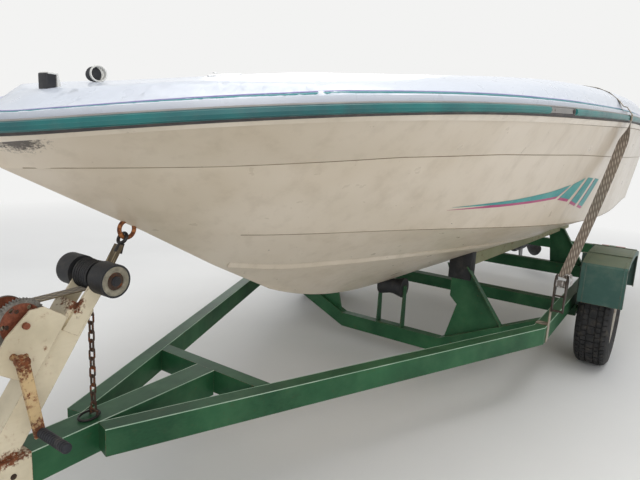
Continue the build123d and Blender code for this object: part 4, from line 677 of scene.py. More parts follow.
deckShape = {"footMm": 25, "kneeMm": 58, "dropMm": 17, "fadeMm": 30, "crown": 0.88, "crownFromMm": 43,
             "fullFromMm": 1000, "fullOverMm": 700, "noseMm": 130, "noseEndMm": 500, "noseOverMm": 350,
             "rimMm": 22, "cutMm": 25, "sideCutMm": 40}
bowTip = 2098.75 * mm
hullTree = treeOf(nodes["hull"])
sheer = evenly(sharpLines("hull", 8)[0][1], 15 * mm)
if sheer[0].y < 0:
    sheer.reverse()
sheerTree = KDTree(len(sheer))
for i, p in enumerate(sheer):
    sheerTree.insert(p, i)
sheerTree.balance()

bm = meshOf("deck")
sliced(bm, [((bowTip - deckShape["cutMm"] * mm * i, 0, 0), (1, 0, 0)) for i in range(1, 25)])
sliced(bm, [((0, (deckShape["sideCutMm"] * i + 3) * mm, 0), (0, 1, 0)) for i in range(-12, 13)])
bmesh.ops.dissolve_degenerate(bm, edges=bm.edges, dist=1e-5)
bmesh.ops.holes_fill(bm, edges=[e for e in bm.edges if e.is_boundary], sides=0)
bmesh.ops.triangulate(bm, faces=[f for f in bm.faces if len(f.verts) > 4])
print("deck copy:", len(bm.faces), "faces,", sum(e.is_boundary for e in bm.edges), "open edges")
foot, knee, drop = deckShape["footMm"], deckShape["kneeMm"], deckShape["dropMm"]
for v in bm.verts:
    near = sheerTree.find(v.co)[0]
    rise, inward, aft = (v.co.z - near.z) / mm, (v.co - near).xy.length / mm, (bowTip - v.co.x) / mm
    if rise <= foot:
        continue
    if rise <= knee:
        rise = foot + (rise - foot) * (knee - foot - drop) / (knee - foot)
    else:
        rise -= drop * clamped((knee + drop * 2 - rise) / deckShape["fadeMm"])
    full = clamped((aft - deckShape["fullFromMm"]) / deckShape["fullOverMm"])
    crown = deckShape["crown"] + (1 - deckShape["crown"]) * full
    reach = clamped((deckShape["noseEndMm"] - aft) / deckShape["noseOverMm"]) * deckShape["noseMm"]
    if reach > 1:
        crown *= eased(clamped((inward - deckShape["rimMm"] - reach * 0.1) / reach))
    if rise > deckShape["crownFromMm"]:
        rise = deckShape["crownFromMm"] + (rise - deckShape["crownFromMm"]) * crown
    v.co.z = near.z + rise * mm
deckTree = treeOf(newPiece("deck_moulding", bm, deckGelcoat, 22, replaced=["deck"]))


def deckTop(x, y):  # the place and normal of the deck below a point
    return deckTree.ray_cast(Vector((x, y, 2.0)), Vector((0, 0, -1)))[:2]


print("deck made")


# hull and deck lines: the moulded lip under the rail in a lighter gelcoat as painted light, a dark strip of
# painted shadow under it, dark strips of painted shade along the creases, spray rails and coach lines

hullLines = {"lipMm": 21, "lipOutMm": 5.0, "railDropMm": 8, "creaseMm": 1.6, "railWideMm": 26,
             "railProudMm": 7, "pitchMm": 45}


def belowSheer(dropMm):  # stations on the hull at a height below its top edge
    line = evenly([p - Vector((0, 0, dropMm * mm)) for p in sheer], hullLines["pitchMm"] * mm)
    return laidOn(hullTree, line)


bm = bmesh.new()
swept(bm, belowSheer(hullLines["railDropMm"] + hullLines["lipMm"] / 2),
      slab(hullLines["lipMm"] / 2 * mm, -1 * mm, hullLines["lipOutMm"] * mm))
newPiece("hull_lip", closed(bm), litLipGelcoat)
# painted shadow: a dark strip under the lip
bm = bmesh.new()
swept(bm, belowSheer(hullLines["railDropMm"] + hullLines["lipMm"] + 1.5), bar(2.4 * mm, 0.6 * mm))
newPiece("hull_lip_shadow", closed(bm), creaseShade)

# heights in mm by the distance from the bow in mm
knuckle = [(60, 1091), (400, 1113), (800, 1152), (1200, 1169), (1800, 1176), (2900, 1166), (4600, 1160)]
strake = [(735, 753), (930, 729), (1400, 740), (1900, 752), (2700, 735), (4380, 632)]


def heightAt(table, u):
    for (u0, z0), (u1, z1) in zip(table, table[1:]):
        if u <= u1:
            return z0 + (z1 - z0) * (u - u0) / (u1 - u0)
    return table[-1][1]


def sideLine(table, first, last, side):  # the hull's side at the heights of a table, as a ray finds it
    found = []
    for u in range(first, last, 60):
        place = hullTree.ray_cast(Vector((bowTip - u * mm, 2 * side, heightAt(table, u) * mm)),
                                  Vector((0, -side, 0)))[0]
        if place is not None:
            found.append(place)
    return found


# painted shade: dark strips along the knuckle and the chines
creases, sprayRails = bmesh.new(), bmesh.new()
wide, proud = hullLines["railWideMm"] * mm, hullLines["railProudMm"] * mm
for side in (1, -1):
    swept(creases, laidOn(hullTree, sideLine(knuckle, 90, 4600, side)),
          bar(hullLines["creaseMm"] * mm, 0.5 * mm))
    swept(sprayRails, laidOn(hullTree, sideLine(strake, 760, 4380, side), side),
          [(0, -1 * mm), (0, proud), (-wide * 0.25, proud * 0.8), (-wide, 0.2 * mm),
           (-wide, -1 * mm), (0, -1 * mm)])
for length, points in sharpLines("hull", 2):  # the chines
    if 3.0 < length < 4.3 and max(p.z for p in points) < 0.95 and abs(points[0].y) > 0.1:
        swept(creases, laidOn(hullTree, evenly(points, 0.06)), bar(1.8 * mm, 0.7 * mm))
newPiece("hull_crease_shade", closed(creases), creaseShade)
newPiece("spray_rails", closed(sprayRails), hullGelcoat, 30)

coachLines = {"pitchMm": 16, "halfMm": 1.7, "ledgeMm": 42, "tealUpMm": 3.5, "lilacUpMm": 6.8, "firstMm": 14,
              "lastMm": 110, "usualMm": 27.0}
ledge = evenly(sheer, coachLines["pitchMm"] * mm)
inside = []
for i, p in enumerate(ledge):
    way = Vector((0, 0, 1)).cross(slope(ledge, i)).normalized()
    inside.append(way if way.dot(Vector((-0.3, 0, 0)) - Vector((p.x, p.y, 0))) > 0 else -way)


def windows(values, reach):  # each value with its neighbours
    return [values[max(0, i - reach):i + reach + 1] for i in range(len(values))]


for name, upMm, material in (("coach_line_teal", coachLines["tealUpMm"], tealStripe),
                             ("coach_line_lilac", coachLines["lilacUpMm"], lilacStripe)):
    offsets = []
    for p, way in zip(ledge, inside):  # how far inside the rail the flank has risen by so much over the ledge
        found = coachLines["usualMm"]
        for inMm in range(coachLines["firstMm"], coachLines["lastMm"]):
            place = deckTop(*(p + way * inMm * mm).xy)[0]
            if place is not None and place.z - p.z > (coachLines["ledgeMm"] + upMm) * mm:
                found = inMm
                break
        offsets.append(found)
    steady = [sorted(group)[len(group) // 2] for group in windows(offsets, 9)]
    smooth = [sum(group) / len(group) for group in windows(steady, 5)]
    spots = [deckTop(*(p + way * inMm * mm).xy) for p, way, inMm in zip(ledge, inside, smooth)]
    spots = [(place, normal if normal.z > 0 else -normal) for place, normal in spots if place is not None]
    calm = [(sum((place for place, _ in group), Vector()) / len(group),
             sum((normal for _, normal in group), Vector()).normalized())
            for group in windows(spots, 4)]  # the line is laid over small dents in the flank
    bm = bmesh.new()
    swept(bm, stationsOf(calm), bar(coachLines["halfMm"] * mm, 2.4 * mm, 4 * mm))
    newPiece(name, closed(bm), material)


# side graphic: a thin wedge and three slanted bars of film, each over a magenta edge

graphic = {"filmMm": 0.5, "cutMm": 30, "edgeMm": 11, "edgeForward": 0.008}
shapes = {
    "wedge": [(0.890, 0.984), (0.60, 1.003), (0.36, 1.028), (0.20, 1.052), (0.27, 1.006), (0.45, 0.996),
              (0.65, 0.988)],
    "bar_front": [(0.170, 1.056), (0.060, 1.078), (0.125, 0.986), (0.245, 1.000)],
    "bar_middle": [(0.020, 1.080), (-0.070, 1.074), (-0.005, 0.958), (0.085, 0.976)],
    "bar_back": [(-0.110, 1.073), (-0.185, 1.066), (-0.120, 0.938), (-0.045, 0.952)],
}
boatSides = (("port", 1), ("starboard", -1))
for name, outline in shapes.items():
    edge = [(x + graphic["edgeForward"], z - graphic["edgeMm"] * mm) for x, z in outline]
    for layer, shape, material, liftMm in (("teal", outline, tealFilm, 1.3),
                                           ("magenta", edge, magentaFilm, 0.7)):
        left, low = min(x for x, _ in shape), min(z for _, z in shape)
        for sideName, side in boatSides:
            bm = bmesh.new()
            bm.faces.new([bm.verts.new((x, 1.5 * side, z)) for x, z in shape])
            sliced(bm, [((left + graphic["cutMm"] * mm * i, 0, 0), (1, 0, 0)) for i in range(1, 40)])
            sliced(bm, [((0, 0, low + graphic["cutMm"] * mm * i), (0, 0, 1)) for i in range(1, 6)])
            for v in bm.verts:
                place, normal, _, _ = hullTree.ray_cast(v.co, Vector((0, -side, 0)))
                v.co = place + normal * liftMm * mm
            bm.normal_update()
            if sum(f.normal.y * side for f in bm.faces) < 0:
                bmesh.ops.reverse_faces(bm, faces=bm.faces)
            bmesh.ops.solidify(bm, geom=bm.faces[:], thickness=graphic["filmMm"] * mm)
            newPiece(f"graphic_{name}_{layer}_{sideName}", bm, material, 0)
print("hull lines and graphic made")


# rub rail: a pale worn lip along its top, and the bare length where the insert is gone, with its screws

railTree = treeOf(nodes["rub_rail"])
railTop = {"outMm": 13.9, "upMm": 24.6, "halfMm": 2.0, "lean": 0.45}
up = Vector((0, 0, 1))
stations = []
for i, p in enumerate(sheer):
    outward = slope(sheer, i).normalized().cross(up)
    outward = outward if outward.dot(Vector((p.x + 0.3, p.y, 0))) > 0 else -outward
    place = p + outward * railTop["outMm"] * mm + up * railTop["upMm"] * mm
    stations.append((place, up - outward * railTop["lean"], (outward + up * railTop["lean"]).normalized()))
bm = bmesh.new()
swept(bm, stations, bar(railTop["halfMm"] * mm, 0.8 * mm, 1.2 * mm))
newPiece("rail_top_lip", closed(bm), greyPrimer)
bareLength = {"front": 0.843, "back": 0.638, "upMm": 13, "halfMm": 8.5, "screws": (0.825, 0.805)}


def railSpot(x):  # a place on the rail's outer face, on the port side
    near = min(sheer, key=lambda p: abs(p.x - x) + (0 if p.y > 0 else 9))
    return railTree.ray_cast(Vector((x, 1.6, near.z + bareLength["upMm"] * mm)), Vector((0, -1, 0)))[0]


bm = bmesh.new()
line = [railSpot(bareLength["front"] + (bareLength["back"] - bareLength["front"]) * i / 8) for i in range(9)]
swept(bm, laidOn(railTree, line), bar(bareLength["halfMm"] * mm, 1.2 * mm))
newPiece("rail_gap_base", closed(bm), greyPrimer)
boltsOn("rail_gap_screws", "rub_rail", [((x, 1.6, railSpot(x).z), (0, -1, 0)) for x in bareLength["screws"]],
        5.0, zincSteel, domed=True)
bm = bmesh.new()
endCap = Matrix.Translation(railSpot(bareLength["back"] + 0.012)) @ Matrix.Diagonal((0.014, 0.006, 0.009, 1))
bmesh.ops.create_uvsphere(bm, u_segments=16, v_segments=10, radius=1.0, matrix=endCap)
newPiece("rail_gap_end", bm, railRubber, 180)


# bow fittings: light, vent ring and the flush pull-up cleat, with the stern cleats in cast alloy

bowLight = {"x": 1.921, "length": 0.034, "width": 0.036, "height": 0.032, "coverHalf": 0.0195}
lightX = bowLight["x"]
seat = min(deckTop(lightX + dx, dy)[0].z for dx in (-0.017, 0.017) for dy in (-0.018, 0.018)) - 1 * mm
top = deckTop(lightX, 0)[0].z + bowLight["height"]
bm = bmesh.new()
addBox(bm, (lightX + 0.004, 0.002, (seat + top) / 2),
       (bowLight["length"] - 0.010, bowLight["width"], top - seat))
bevelled(bm, 2.5, 3)
newPiece("bow_light_front", bm, blackMoulding, 45, replaced=["bow_light"])
bm = bmesh.new()
shell = [(-0.010, seat), (-0.010, top - 2 * mm), (0.012, top - 2 * mm), (0.012, top + 2.5 * mm),
         (-0.013, top + 2.5 * mm), (-0.020, seat)]
thickened(bm, [(lightX + dx, -bowLight["coverHalf"], z) for dx, z in shell], (0, 0.041, 0))
bevelled(bm, 1.0)
newPiece("bow_light_cover", closed(bm), shellGelcoat, 45)

vent = {"x": 1.788, "radius": 0.020, "wall": 0.0025, "length": 0.018}
ventWay = Vector((0.34, 0.93, 0.03)).normalized()
bm = bmesh.new()
inner = vent["radius"] - vent["wall"]
ringLine = [(vent["radius"], 0.0), (vent["radius"] + 1 * mm, vent["length"] * 0.9), 
            (vent["radius"], vent["length"]), (inner, vent["length"]),
            (inner - 2 * mm, 3 * mm), (0.001, 2 * mm), (0.001, 0.0)]
spun(bm, [(r, 0, z) for r, z in ringLine], 36, (0, 0, 1))
centre = Vector((vent["x"], -0.008, deckTop(vent["x"], 0)[0].z + vent["radius"] - 1 * mm))
bmesh.ops.transform(bm, matrix=turnedTo(centre, ventWay), verts=bm.verts)
newPiece("bow_vent_ring", bm, shellGelcoat, replaced=["bow_vent"])
bm = bmesh.new()
addDisc(bm, turnedTo(centre + Vector((0.008, -0.006, -0.002)), ventWay), vent["radius"] * 0.82,
        vent["radius"] * 0.95, 0.018, 32)
bevelled(bm, 1.2)
newPiece("bow_vent_body", bm, blackMoulding, 45)

bowCleat = {"x": 1.33875, "halfLength": 0.078, "halfWidth": 0.017, "studs": 0.045}
bm = bmesh.new()
foot, normal = deckTop(bowCleat["x"], 0)
plate = Matrix.Diagonal((bowCleat["halfLength"], bowCleat["halfWidth"], 1, 1))
addDisc(bm, turnedTo(foot + normal * 1 * mm, normal) @ plate, 1.0, 0.96, 4 * mm, 48)
for dx in (-bowCleat["studs"], bowCleat["studs"]):
    addDisc(bm, turnedTo(foot + Vector((dx, 0, 3.2 * mm)), normal), 8 * mm, 6.5 * mm, 2 * mm, 24)
sternCleats = meshOf("cleats")
bmesh.ops.delete(sternCleats, geom=[v for v in sternCleats.verts if v.co.x > 0], context="VERTS")
spare = bpy.data.meshes.new("stern cleats")
sternCleats.to_mesh(spare)
sternCleats.free()
bm.from_mesh(spare)
newPiece("cleats_cast", bm, castAlloy, 30, replaced=["cleats"])
print("bow fittings made")


# tyres with tread, round the rims' own axles, with wheel nuts and valves

tyre = {"axle": Vector((-0.72125, 0, 0.29)), "centreY": 0.958, "steps": 240, "nutRing": 0.05,
        "valveRing": 0.148}
halfSection = [(60, 176), (66, 172), (70, 186), (80, 205), (87, 230), (86.5, 236), (84, 240), (83, 262),
               (78, 272),
               (71.5, 281), (62, 287.5), (57.5, 289.4), (51.5, 290), (50.5, 283), (45.5, 283), (44.5, 290),
               (23.5, 290), (22.5, 283), (17.5, 283), (16.5, 290)]
section = halfSection + [(-y, r) for y, r in reversed(halfSection)]
for sideName, side, body in (("left", 1, "left_wheel"), ("right", -1, "right_wheel")):
    bm = bmesh.new()
    spun(bm, [(0, y * mm, r * mm) for y, r in section], tyre["steps"])
    notches = []
    for f in bm.faces:
        c = f.calc_center_median()
        radius, width = math.hypot(c.x, c.z), abs(c.y)
        step = round(math.atan2(c.x, c.z) / math.tau * tyre["steps"] - 0.5)
        if radius > 0.2892 and (0.025 < width < 0.044 and step % 4 == 0 or width < 0.015 and step % 6 == 0):
            notches.append(f)
        if 0.2835 < radius < 0.2899 and width > 0.0515 and step % 4 == 2:
            notches.append(f)
    bmesh.ops.inset_region(bm, faces=notches, thickness=0.9 * mm, depth=-5 * mm, use_even_offset=True)
    bmesh.ops.translate(bm, verts=bm.verts, vec=tyre["axle"] + Vector((0, tyre["centreY"] * side, 0)))
    newPiece("tyre_tread_" + sideName, bm, tyreRubber, 32, body, ["tyre_" + sideName])
    nutMiddle = tyre["axle"] + Vector((0, 1.3 * side, 0))
    shots = [(p, (0, -side, 0)) for p in around(nutMiddle, tyre["nutRing"], 4, 0.5)]
    boltsOn("wheel_nuts_" + sideName, "rim_" + sideName, shots, 11, zincSteel, body=body)
    bm = bmesh.new()
    stem = tyre["axle"] + Vector((tyre["valveRing"], side * 1.016, 0.02))
    addDisc(bm, turnedTo(stem, (0, side, 0)), 4.5 * mm, 3.5 * mm, 24 * mm, 14)
    newPiece("valve_" + sideName, bm, blackMoulding, body=body)
print("tyres made")


# fenders: a bent sheet with folded seams, a rolled outer rim and two stays to the rail

fender = {"innerY": 0.872, "outerY": 1.085, "sheetMm": 3, "rimMm": 28, "stays": (-0.64, -0.98),
          "seams": (-0.58, -0.86)}
profile = [(-0.409, 0.41), (-0.409, 0.612), (-0.415, 0.622), (-0.56, 0.650), (-0.62, 0.6565), (-0.82, 0.6565),
           (-0.89, 0.648), (-1.027, 0.622), (-1.033, 0.612), (-1.033, 0.41)]
profile = [Vector((x, 0, z)) for x, z in profile]
sheet, wide = fender["sheetMm"] * mm, fender["outerY"] - fender["innerY"]
half, rim = wide / 2, -fender["rimMm"] * mm
for sideName, side in (("left", 1), ("right", -1)):
    middle = Vector((0, (fender["outerY"] + fender["innerY"]) / 2 * side, 0))
    across = Vector((0, side, 0))
    stations = []
    for i, p in enumerate(profile):
        outward = Vector((slope(profile, i).z, 0, -slope(profile, i).x)).normalized()
        stations.append((p + middle - outward * sheet, across, outward))
    bm = bmesh.new()
    swept(bm, stations, [(-half, 0), (-half, sheet), (half, sheet), (half, rim), (half - sheet, rim),
                         (half - sheet, 0), (-half, 0)])
    for x in fender["stays"]:
        addBox(bm, (x, side * 0.8565, 0.486), (0.036, 0.035, 0.30))
    newPiece("fender_sheet_" + sideName, closed(bm), fenderGreen, 25,
             replaced=["fender_" + sideName])
    seams = bmesh.new()
    for x in fender["seams"]:  # seams across the top
        ends = (fender["innerY"] + 0.004, fender["outerY"] - 0.002)
        swept(seams, [(Vector((x, side * y, 0.6535)), Vector((1, 0, 0)), up) for y in ends],
              bar(6 * mm, 3.2 * mm))
    for inset in (0.022, wide - 0.016):  # folds along the length
        swept(seams, [(place + across * (inset - half) + outward * sheet * 0.6, s, outward)
                      for place, s, outward in stations], bar(3.0 * mm, 2.2 * mm))
    newPiece("fender_seams_" + sideName, closed(seams), fenderGreen)
    bm = bmesh.new()
    for x in fender["stays"]:
        for z in (0.39, 0.60):
            boltHead(bm, (x, side * 0.8735, z), across, 7)
    newPiece("fender_bolts_" + sideName, bm, rustyIron, 30)
print("fenders made")


# winch: gear bolts, post bolts, roller ridges and worn rings, grip ribs and the snap hook

winch = {"gear": Vector((2.028967, 0, 0.729681)), "boltRing": 0.034, "roller": Vector((1.82175, 0, 0.805)),
         "rollerRadius": 0.044}
boltsOn("gear_bolts", "winch_drum",
        [(p, (0, -1, 0)) for p in around(winch["gear"] + Vector((0, 0.4, 0)), winch["boltRing"], 5)],
        5.5, rustyIron, "winch_reel")
low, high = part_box("winch_post")
boltsOn("post_bolts", "winch_post", [((x, side * 0.5, low.z + 0.035), (0, -side, 0)) for side in (1, -1)
                                     for x in (high.x - 0.045, high.x - 0.11)], 8, rustyIron)
bm = bmesh.new()
for i in range(-3, 4):
    reach = winch["rollerRadius"] - (5.2 + 0.5 * (3 - abs(i))) * mm
    pipeAlong(bm, around(winch["roller"] + Vector((0, i * 9 * mm, 0)), reach, 40), 3 * mm, 8, loop=True)
newPiece("roller_ridges", closed(bm), rollerRubber, 50, "bow_roll")
ring = [(23.5, 97.5), (24.0, 100.0), (26.0, 101.2), (36.0, 101.6), (38.5, 100.6), (38.8, 99.0), (38.8, 96.0),
        (23.5, 96.0)]  # radius and distance from the middle in mm
hub = [(0.5, 96.0), (24.2, 96.0), (24.2, 97.6), (15.0, 97.2), (13.5, 99.0), (11.0, 100.5), (9.5, 102.0),
       (6.0, 104.6), (0.5, 105.0)]
for sideName, side in boatSides:
    for name, outline, steps, material, slotName, sharp in (
            ("roller_ring_", ring, 56, palePolyurethane, "roller_rubber", 40),
            ("roller_bolt_", hub, 40, rustyIron, "zinc_steel", 30)):
        bm = bmesh.new()
        spun(bm, [(0, side * y * mm, r * mm) for r, y in outline], steps)
        bmesh.ops.translate(bm, verts=bm.verts, vec=winch["roller"])
        newPiece(name + sideName, bm, material, sharp, "bow_roll")
grip = {"x": 2.0303, "z": 0.477, "from": 0.1003, "to": 0.2096, "radius": 0.0128, "ribs": 12}
outline = [(0.3, 0.0), (0.86, 0.0), (0.92, 0.01)]  # shares of the radius and of the length
for i in range(grip["ribs"]):
    for r, along in ((0.90, 0.35), (1.0, 0.62), (1.0, 1.05)):
        outline.append((r, (i + along) / (grip["ribs"] + 0.7)))
outline += [(0.92, 0.985), (0.78, 1.0), (0.3, 1.0)]
bm = bmesh.new()
gripLength = grip["to"] - grip["from"]
spun(bm, [(0, grip["from"] + gripLength * along, grip["radius"] * r) for r, along in outline], 32, ring=False)
bmesh.ops.translate(bm, verts=bm.verts, vec=(grip["x"], 0, grip["z"]))
newPiece("ribbed_grip", closed(bm), gripRubber, 50, "winch_handle", ["crank_grip"])

snapHook = {"top": Vector((1.7310, 0, 0.878)), "strapEnd": Vector((1.7455, 0, 0.853)), "radius": 0.009}
bm = bmesh.new()
body = snapHook["top"] - snapHook["strapEnd"]
way, across = body.normalized(), Vector((0, 1, 0))
swept(bm, [(snapHook["strapEnd"] + body * i / 6, across, way.cross(across)) for i in range(7)],
      circle(snapHook["radius"], 12))
for v in bm.verts:  # wider at the strap's end
    v.co.y *= 2.0 - 1.1 * (v.co - snapHook["strapEnd"]).dot(way) / body.length
newPiece("snap_hook_body", closed(bm), blackIron, 50)
print("winch dressed")


# frame: pale strips of painted highlight along the beams' upper edges

for node in ("tongue", "rail_left", "rail_right"):
    low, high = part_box(node)
    bm = bmesh.new()
    for length, points in sharpLines(node, 60, 0.7):
        if sum(p.z for p in points) / len(points) > low.z + (high.z - low.z) * 0.7:
            pipeAlong(bm, [p - Vector((0, 0, 0.7 * mm)) for p in points], 1.5 * mm, 6)
    newPiece(node + "_edge_highlights", closed(bm), edgeHighlight, 60)
print("edge highlights made")


# chain's hook ring on the tongue: an oval that rises to one end

hookRing = {"x": 1.845, "halfMm": (30, 19, 3), "barMm": 3.4, "lowTurn": 2}
tongueTree = treeOf(*(nodes[node] for node in ("tongue", "rail_left", "rail_right")))
hookAt = tongueTree.ray_cast(Vector((hookRing["x"], 0.0, 0.9)), Vector((0, 0, -1)))[0]
bm = bmesh.new()
turn = []
for k in range(36):
    t = math.tau * k / 36
    spot = (math.cos(t), math.sin(t), 1 + math.cos(t + hookRing["lowTurn"]))
    reach = Vector(s * h * mm for s, h in zip(spot, hookRing["halfMm"]))
    turn.append(hookAt + reach + up * hookRing["barMm"] * mm)
pipeAlong(bm, turn, hookRing["barMm"] * mm, 12, loop=True)
newPiece("chain_hook_ring", closed(bm), blackIron, 50)


# bunks: timbers that start behind the front posts, with black pads on the posts' tops

bunk = {"frontX": -0.055, "padX": -0.018, "padY": 0.372, "padLow": 0.515, "padSize": (0.060, 0.118, 0.080)}
bm = meshOf("bunks")
bmesh.ops.bisect_plane(bm, geom=bm.verts[:] + bm.edges[:] + bm.faces[:], plane_co=(bunk["frontX"], 0, 0),
                       plane_no=(1, 0, 0), clear_outer=True)
newPiece("bunk_timbers", closed(bm), bunkPaint, 30, replaced=["bunks"])
pads = bmesh.new()
padMiddle = bunk["padLow"] + bunk["padSize"][2] / 2
for side in (1, -1):
    for v in addBox(pads, (bunk["padX"], side * bunk["padY"], padMiddle), bunk["padSize"]):
        if v.co.z > padMiddle:  # the pad's top follows the hull's bottom
            ground = hullTree.ray_cast(Vector((v.co.x, v.co.y, bunk["padLow"])), up)[0]
            v.co.z = (ground.z if ground is not None else bunk["padLow"] + 0.06) - 0.5 * mm
bevelled(pads, 4)
newPiece("post_pads", pads, rollerRubber, 45)


# tie-down: the belt with its port leg twisted to face forward, as it hangs in the photograph

tie = {"top": Vector((-0.2113, 1.0122, 1.337)), "foot": Vector((0.0700, 0.8660, 0.628)), "widthMm": 47,
       "thickMm": 2.4, "twist": math.radians(68), "twistShare": 0.16, "bowMm": 8, "legTopZ": 1.3348}
bm = meshOf("tie_strap")
sliced(bm, [((0, 0, tie["legTopZ"]), (0, 0, 1))])
leg = [v for v in bm.verts if v.co.y > 0.8 and 0.55 < v.co.z < tie["legTopZ"] - 0.8 * mm]
bmesh.ops.delete(bm, geom=leg, context="VERTS")
newPiece("tie_belt", closed(bm), tieWebbing, 30, replaced=["tie_strap"])
along = (tie["foot"] - tie["top"]).normalized()
flat = (Vector((1, 0, 0)) - along * along.x).normalized()
stations = []
for i in range(41):
    share = i / 40
    turn = Matrix.Rotation(-tie["twist"] * eased(min(1.0, share / tie["twistShare"])), 3, along)
    side = turn @ flat
    bow = Vector((0.2, 1, 0)) * tie["bowMm"] * mm * 4 * share * (1 - share)
    stations.append((tie["top"].lerp(tie["foot"], share) + bow, side, along.cross(side)))
half, thick = tie["widthMm"] / 2 * mm, tie["thickMm"] / 2 * mm
bm = bmesh.new()
swept(bm, stations, [(-half, -thick), (-half, thick), (-half * 0.5, thick * 1.3), (half * 0.5, thick * 1.3),
                     (half, thick), (half, -thick), (-half, -thick)])
newPiece("tie_belt_leg", closed(bm), tiePortWebbing)


# ratchet: two pressed plates, a drum with its roll of webbing, and the handle's bars

ratchet = {"plates": (0.8405, 0.8875), "thickMm": 5.5, "drum": (0.0720, 0.600), "barLength": 0.0525,
           "bars": ((0.082, 0.545, 4.0), (0.083, 0.474, 5.0), (0.0720, 0.600, 6.5)), "laps": 3,
           "lapSteps": 16}
outline = [(0.055, 0.640), (0.086, 0.636), (0.100, 0.612), (0.094, 0.560), (0.100, 0.500), (0.092, 0.468),
           (0.074, 0.468), (0.062, 0.520), (0.046, 0.575), (0.042, 0.615)]
bm = bmesh.new()
thick = ratchet["thickMm"] * mm
for y in ratchet["plates"]:
    thickened(bm, [(x, y - thick / 2, z) for x, z in outline], (0, thick, 0))
middleY = sum(ratchet["plates"]) / 2
for x, z, sizeMm in ratchet["bars"]:
    addDisc(bm, turnedTo((x, middleY, z), (0, 1, 0)), sizeMm * mm, sizeMm * mm, ratchet["barLength"], 16)
bmesh.ops.recalc_face_normals(bm, faces=bm.faces)
newPiece("ratchet_frame", bm, ratchetSteel, 35, replaced=["ratchet"])
bm = bmesh.new()
turns, drumAt = [], Vector((ratchet["drum"][0], middleY, ratchet["drum"][1]))
for i in range(ratchet["laps"] * ratchet["lapSteps"] + 1):  # the webbing's turns round the drum
    turn = math.tau * i / ratchet["lapSteps"]
    outward = Vector((math.cos(turn), 0, math.sin(turn)))
    turns.append((drumAt + outward * (8 + 2.6 * i / ratchet["lapSteps"]) * mm, Vector((0, 1, 0)), outward))
swept(bm, turns, slab(21 * mm, 0, 2 * mm))
newPiece("ratchet_roll", closed(bm), greyWebbing)
bm = bmesh.new()
loop = [(0.866, 0.630), (0.874, 0.643), (0.886, 0.649), (0.898, 0.644), (0.905, 0.628), (0.906, 0.602)]
loop = [Vector((0.0700, y, z)) for y, z in loop]
swept(bm, [(p, Vector((1, 0, 0)), Vector((0, -slope(loop, i).z, slope(loop, i).y)).normalized())
           for i, p in enumerate(loop)], slab(22 * mm, -1 * mm, 1.4 * mm))
newPiece("ratchet_loop", closed(bm), greyWebbing)
print("belt and ratchet made")


# cushions: each pad swells as cloth with air in it, then gets its sewn channels

bigPad = {"body": "root", "voxelMm": 12, "shrinkMm": 6, "capMm": 11, "channelMm": 150, "depthMm": 7,
          "fill": 0.7}
cushions = {
    "seat_pads": {**bigPad, "voxelMm": 9, "shrinkMm": 5, "capMm": 9, "channelMm": 62, "depthMm": 5},
    "rear_bench": bigPad,
    "sun_pad": {**bigPad, "body": "hatch", "channelMm": 165, "fill": 0.6},
}
lastFrame = 20
scene = bpy.context.scene


def evaluated(piece):  # the mesh with its modifiers, in place of the old one
    graph = bpy.context.evaluated_depsgraph_get()
    fresh = bpy.data.meshes.new_from_object(piece.evaluated_get(graph))
    piece.modifiers.clear()
    piece.data = fresh


for node, pad in cushions.items():
    bm = meshOf(node)
    for v in bm.verts:
        v.co -= v.normal * pad["shrinkMm"] * mm
    piece = newPiece(node + "_cushion", bm, seatVinyl, 180, pad["body"], [node])
    remesh = piece.modifiers.new("even", "REMESH")
    remesh.mode = "VOXEL"
    remesh.voxel_size = pad["voxelMm"] * mm
    evaluated(piece)
    before = [v.co.copy() for v in piece.data.vertices]
    cloth = piece.modifiers.new("air", "CLOTH")
    cloth.settings.use_pressure = True
    cloth.settings.uniform_pressure_force = 4
    cloth.settings.effector_weights.gravity = 0
    cloth.point_cache.frame_start, cloth.point_cache.frame_end = 1, lastFrame
    for number in range(1, lastFrame + 1):
        scene.frame_set(number)
    evaluated(piece)
    scene.frame_set(1)
    for v, old in zip(piece.data.vertices, before):
        move = v.co - old
        if move.length > pad["capMm"] * mm:
            v.co = old + move.normalized() * pad["capMm"] * mm
    rounder = piece.modifiers.new("rounder", "SUBSURF")
    rounder.levels = rounder.render_levels = 1
    evaluated(piece)
    bm = bmesh.new()
    bm.from_mesh(piece.data)
    bm.normal_update()
    low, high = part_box(node)
    middle, channel = (low.y + high.y) / 2, pad["channelMm"] * mm
    for v in bm.verts:  # channels run fore and aft, as the panels are sewn
        off = abs((v.co.y - middle + channel / 2) % channel - channel / 2)
        v.co -= v.normal * pad["depthMm"] * mm * math.exp(-(off / (7 * mm)) ** 2)
    for v in bm.verts:
        v.co = Vector(max(l, min(h, c)) for c, l, h in zip(v.co, low, high))
    bm.to_mesh(piece.data)
    bm.free()
    piece.data.materials.clear()
    piece.data.materials.append(seatVinyl)
    for polygon in piece.data.polygons:
        polygon.use_smooth = True
    print("cushion", node, len(piece.data.polygons), "faces")


# floor, light and world

def seen(tree):  # 1 for what the camera, a reflection or a clear piece looks at
    paths = addNode(tree, "ShaderNodeLightPath").outputs
    either = addNode(tree, "ShaderNodeMath", {0: paths["Is Camera Ray"], 1: paths["Is Glossy Ray"]},
                     operation="MAXIMUM")
    return addNode(tree, "ShaderNodeMath", {0: either.outputs[0], 1: paths["Is Transmission Ray"]},
                   operation="MAXIMUM").outputs[0]


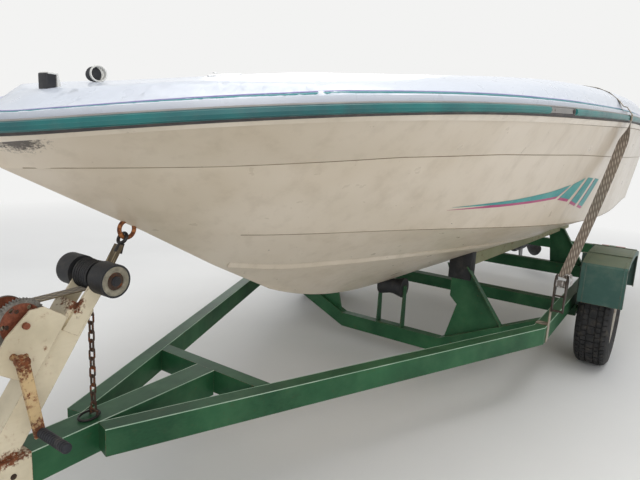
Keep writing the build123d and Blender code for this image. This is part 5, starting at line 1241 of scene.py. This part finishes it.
backdrop = linear("F3F3F2")
ground = bmesh.new()
bmesh.ops.create_grid(ground, x_segments=1, y_segments=1, size=40)
floorMesh = bpy.data.meshes.new("floor")
ground.to_mesh(floorMesh)
ground.free()
floor = bpy.data.objects.new("floor", floorMesh)
scene.collection.objects.link(floor)
floorPaint, tree, shader, coords = newMaterial("matt white studio floor", Roughness=0.9, IOR=1.45)
tree.links.new(noiseRamp(tree, coords, 900, [(0.3, "EDEDEB"), (0.7, "E8E8E6")]), shader.inputs["Base Color"])
far = addNode(tree, "ShaderNodeVectorMath", {0: coords}, operation="LENGTH")
fade = addNode(tree, "ShaderNodeMapRange", {"Value": far.outputs["Value"], "From Min": 3.2, "From Max": 7.0,
                                            "To Min": 0.0, "To Max": 1.0})
share = addNode(tree, "ShaderNodeMath", {0: seen(tree), 1: fade.outputs[0]}, operation="MULTIPLY")
glow = addNode(tree, "ShaderNodeEmission", {"Color": backdrop, "Strength": 1.0})
blend = addNode(tree, "ShaderNodeMixShader", {0: share.outputs[0], 1: shader.outputs[0], 2: glow.outputs[0]})
tree.links.new(blend.outputs[0], tree.nodes["Material Output"].inputs["Surface"])
floorMesh.materials.append(floorPaint)

lamps = {
    "top": {"place": (0.3, 0.6, 6.0), "aim": (0.2, 0.2, 0.5), "size": 5.0, "watts": 205},
    "fill": {"place": (4.6, 4.6, 2.8), "aim": (0.6, 0.3, 0.8), "size": 3.5, "watts": 110},
    "back": {"place": (-5.0, -4.0, 4.0), "aim": (-0.5, 0, 0.8), "size": 4.0, "watts": 90},
}
for name, lamp in lamps.items():
    data = bpy.data.lights.new(name, "AREA")
    data.size = lamp["size"]
    data.energy = lamp["watts"]
    light = bpy.data.objects.new(name, data)
    way = Vector(lamp["aim"]) - Vector(lamp["place"])
    light.matrix_world = Matrix.Translation(lamp["place"]) @ way.to_track_quat("-Z", "Y").to_matrix().to_4x4()
    scene.collection.objects.link(light)

world = bpy.data.worlds.new("studio")
scene.world = world
world.use_nodes = True
tree = world.node_tree
tree.nodes.clear()
soft = addNode(tree, "ShaderNodeBackground", {"Color": linear("F4F6FA"), "Strength": 0.5})
plain = addNode(tree, "ShaderNodeBackground", {"Color": backdrop, "Strength": 1.0})
both = addNode(tree, "ShaderNodeMixShader", {0: seen(tree), 1: soft.outputs[0], 2: plain.outputs[0]})
addNode(tree, "ShaderNodeOutputWorld", {"Surface": both.outputs[0]})
print("light and floor set")
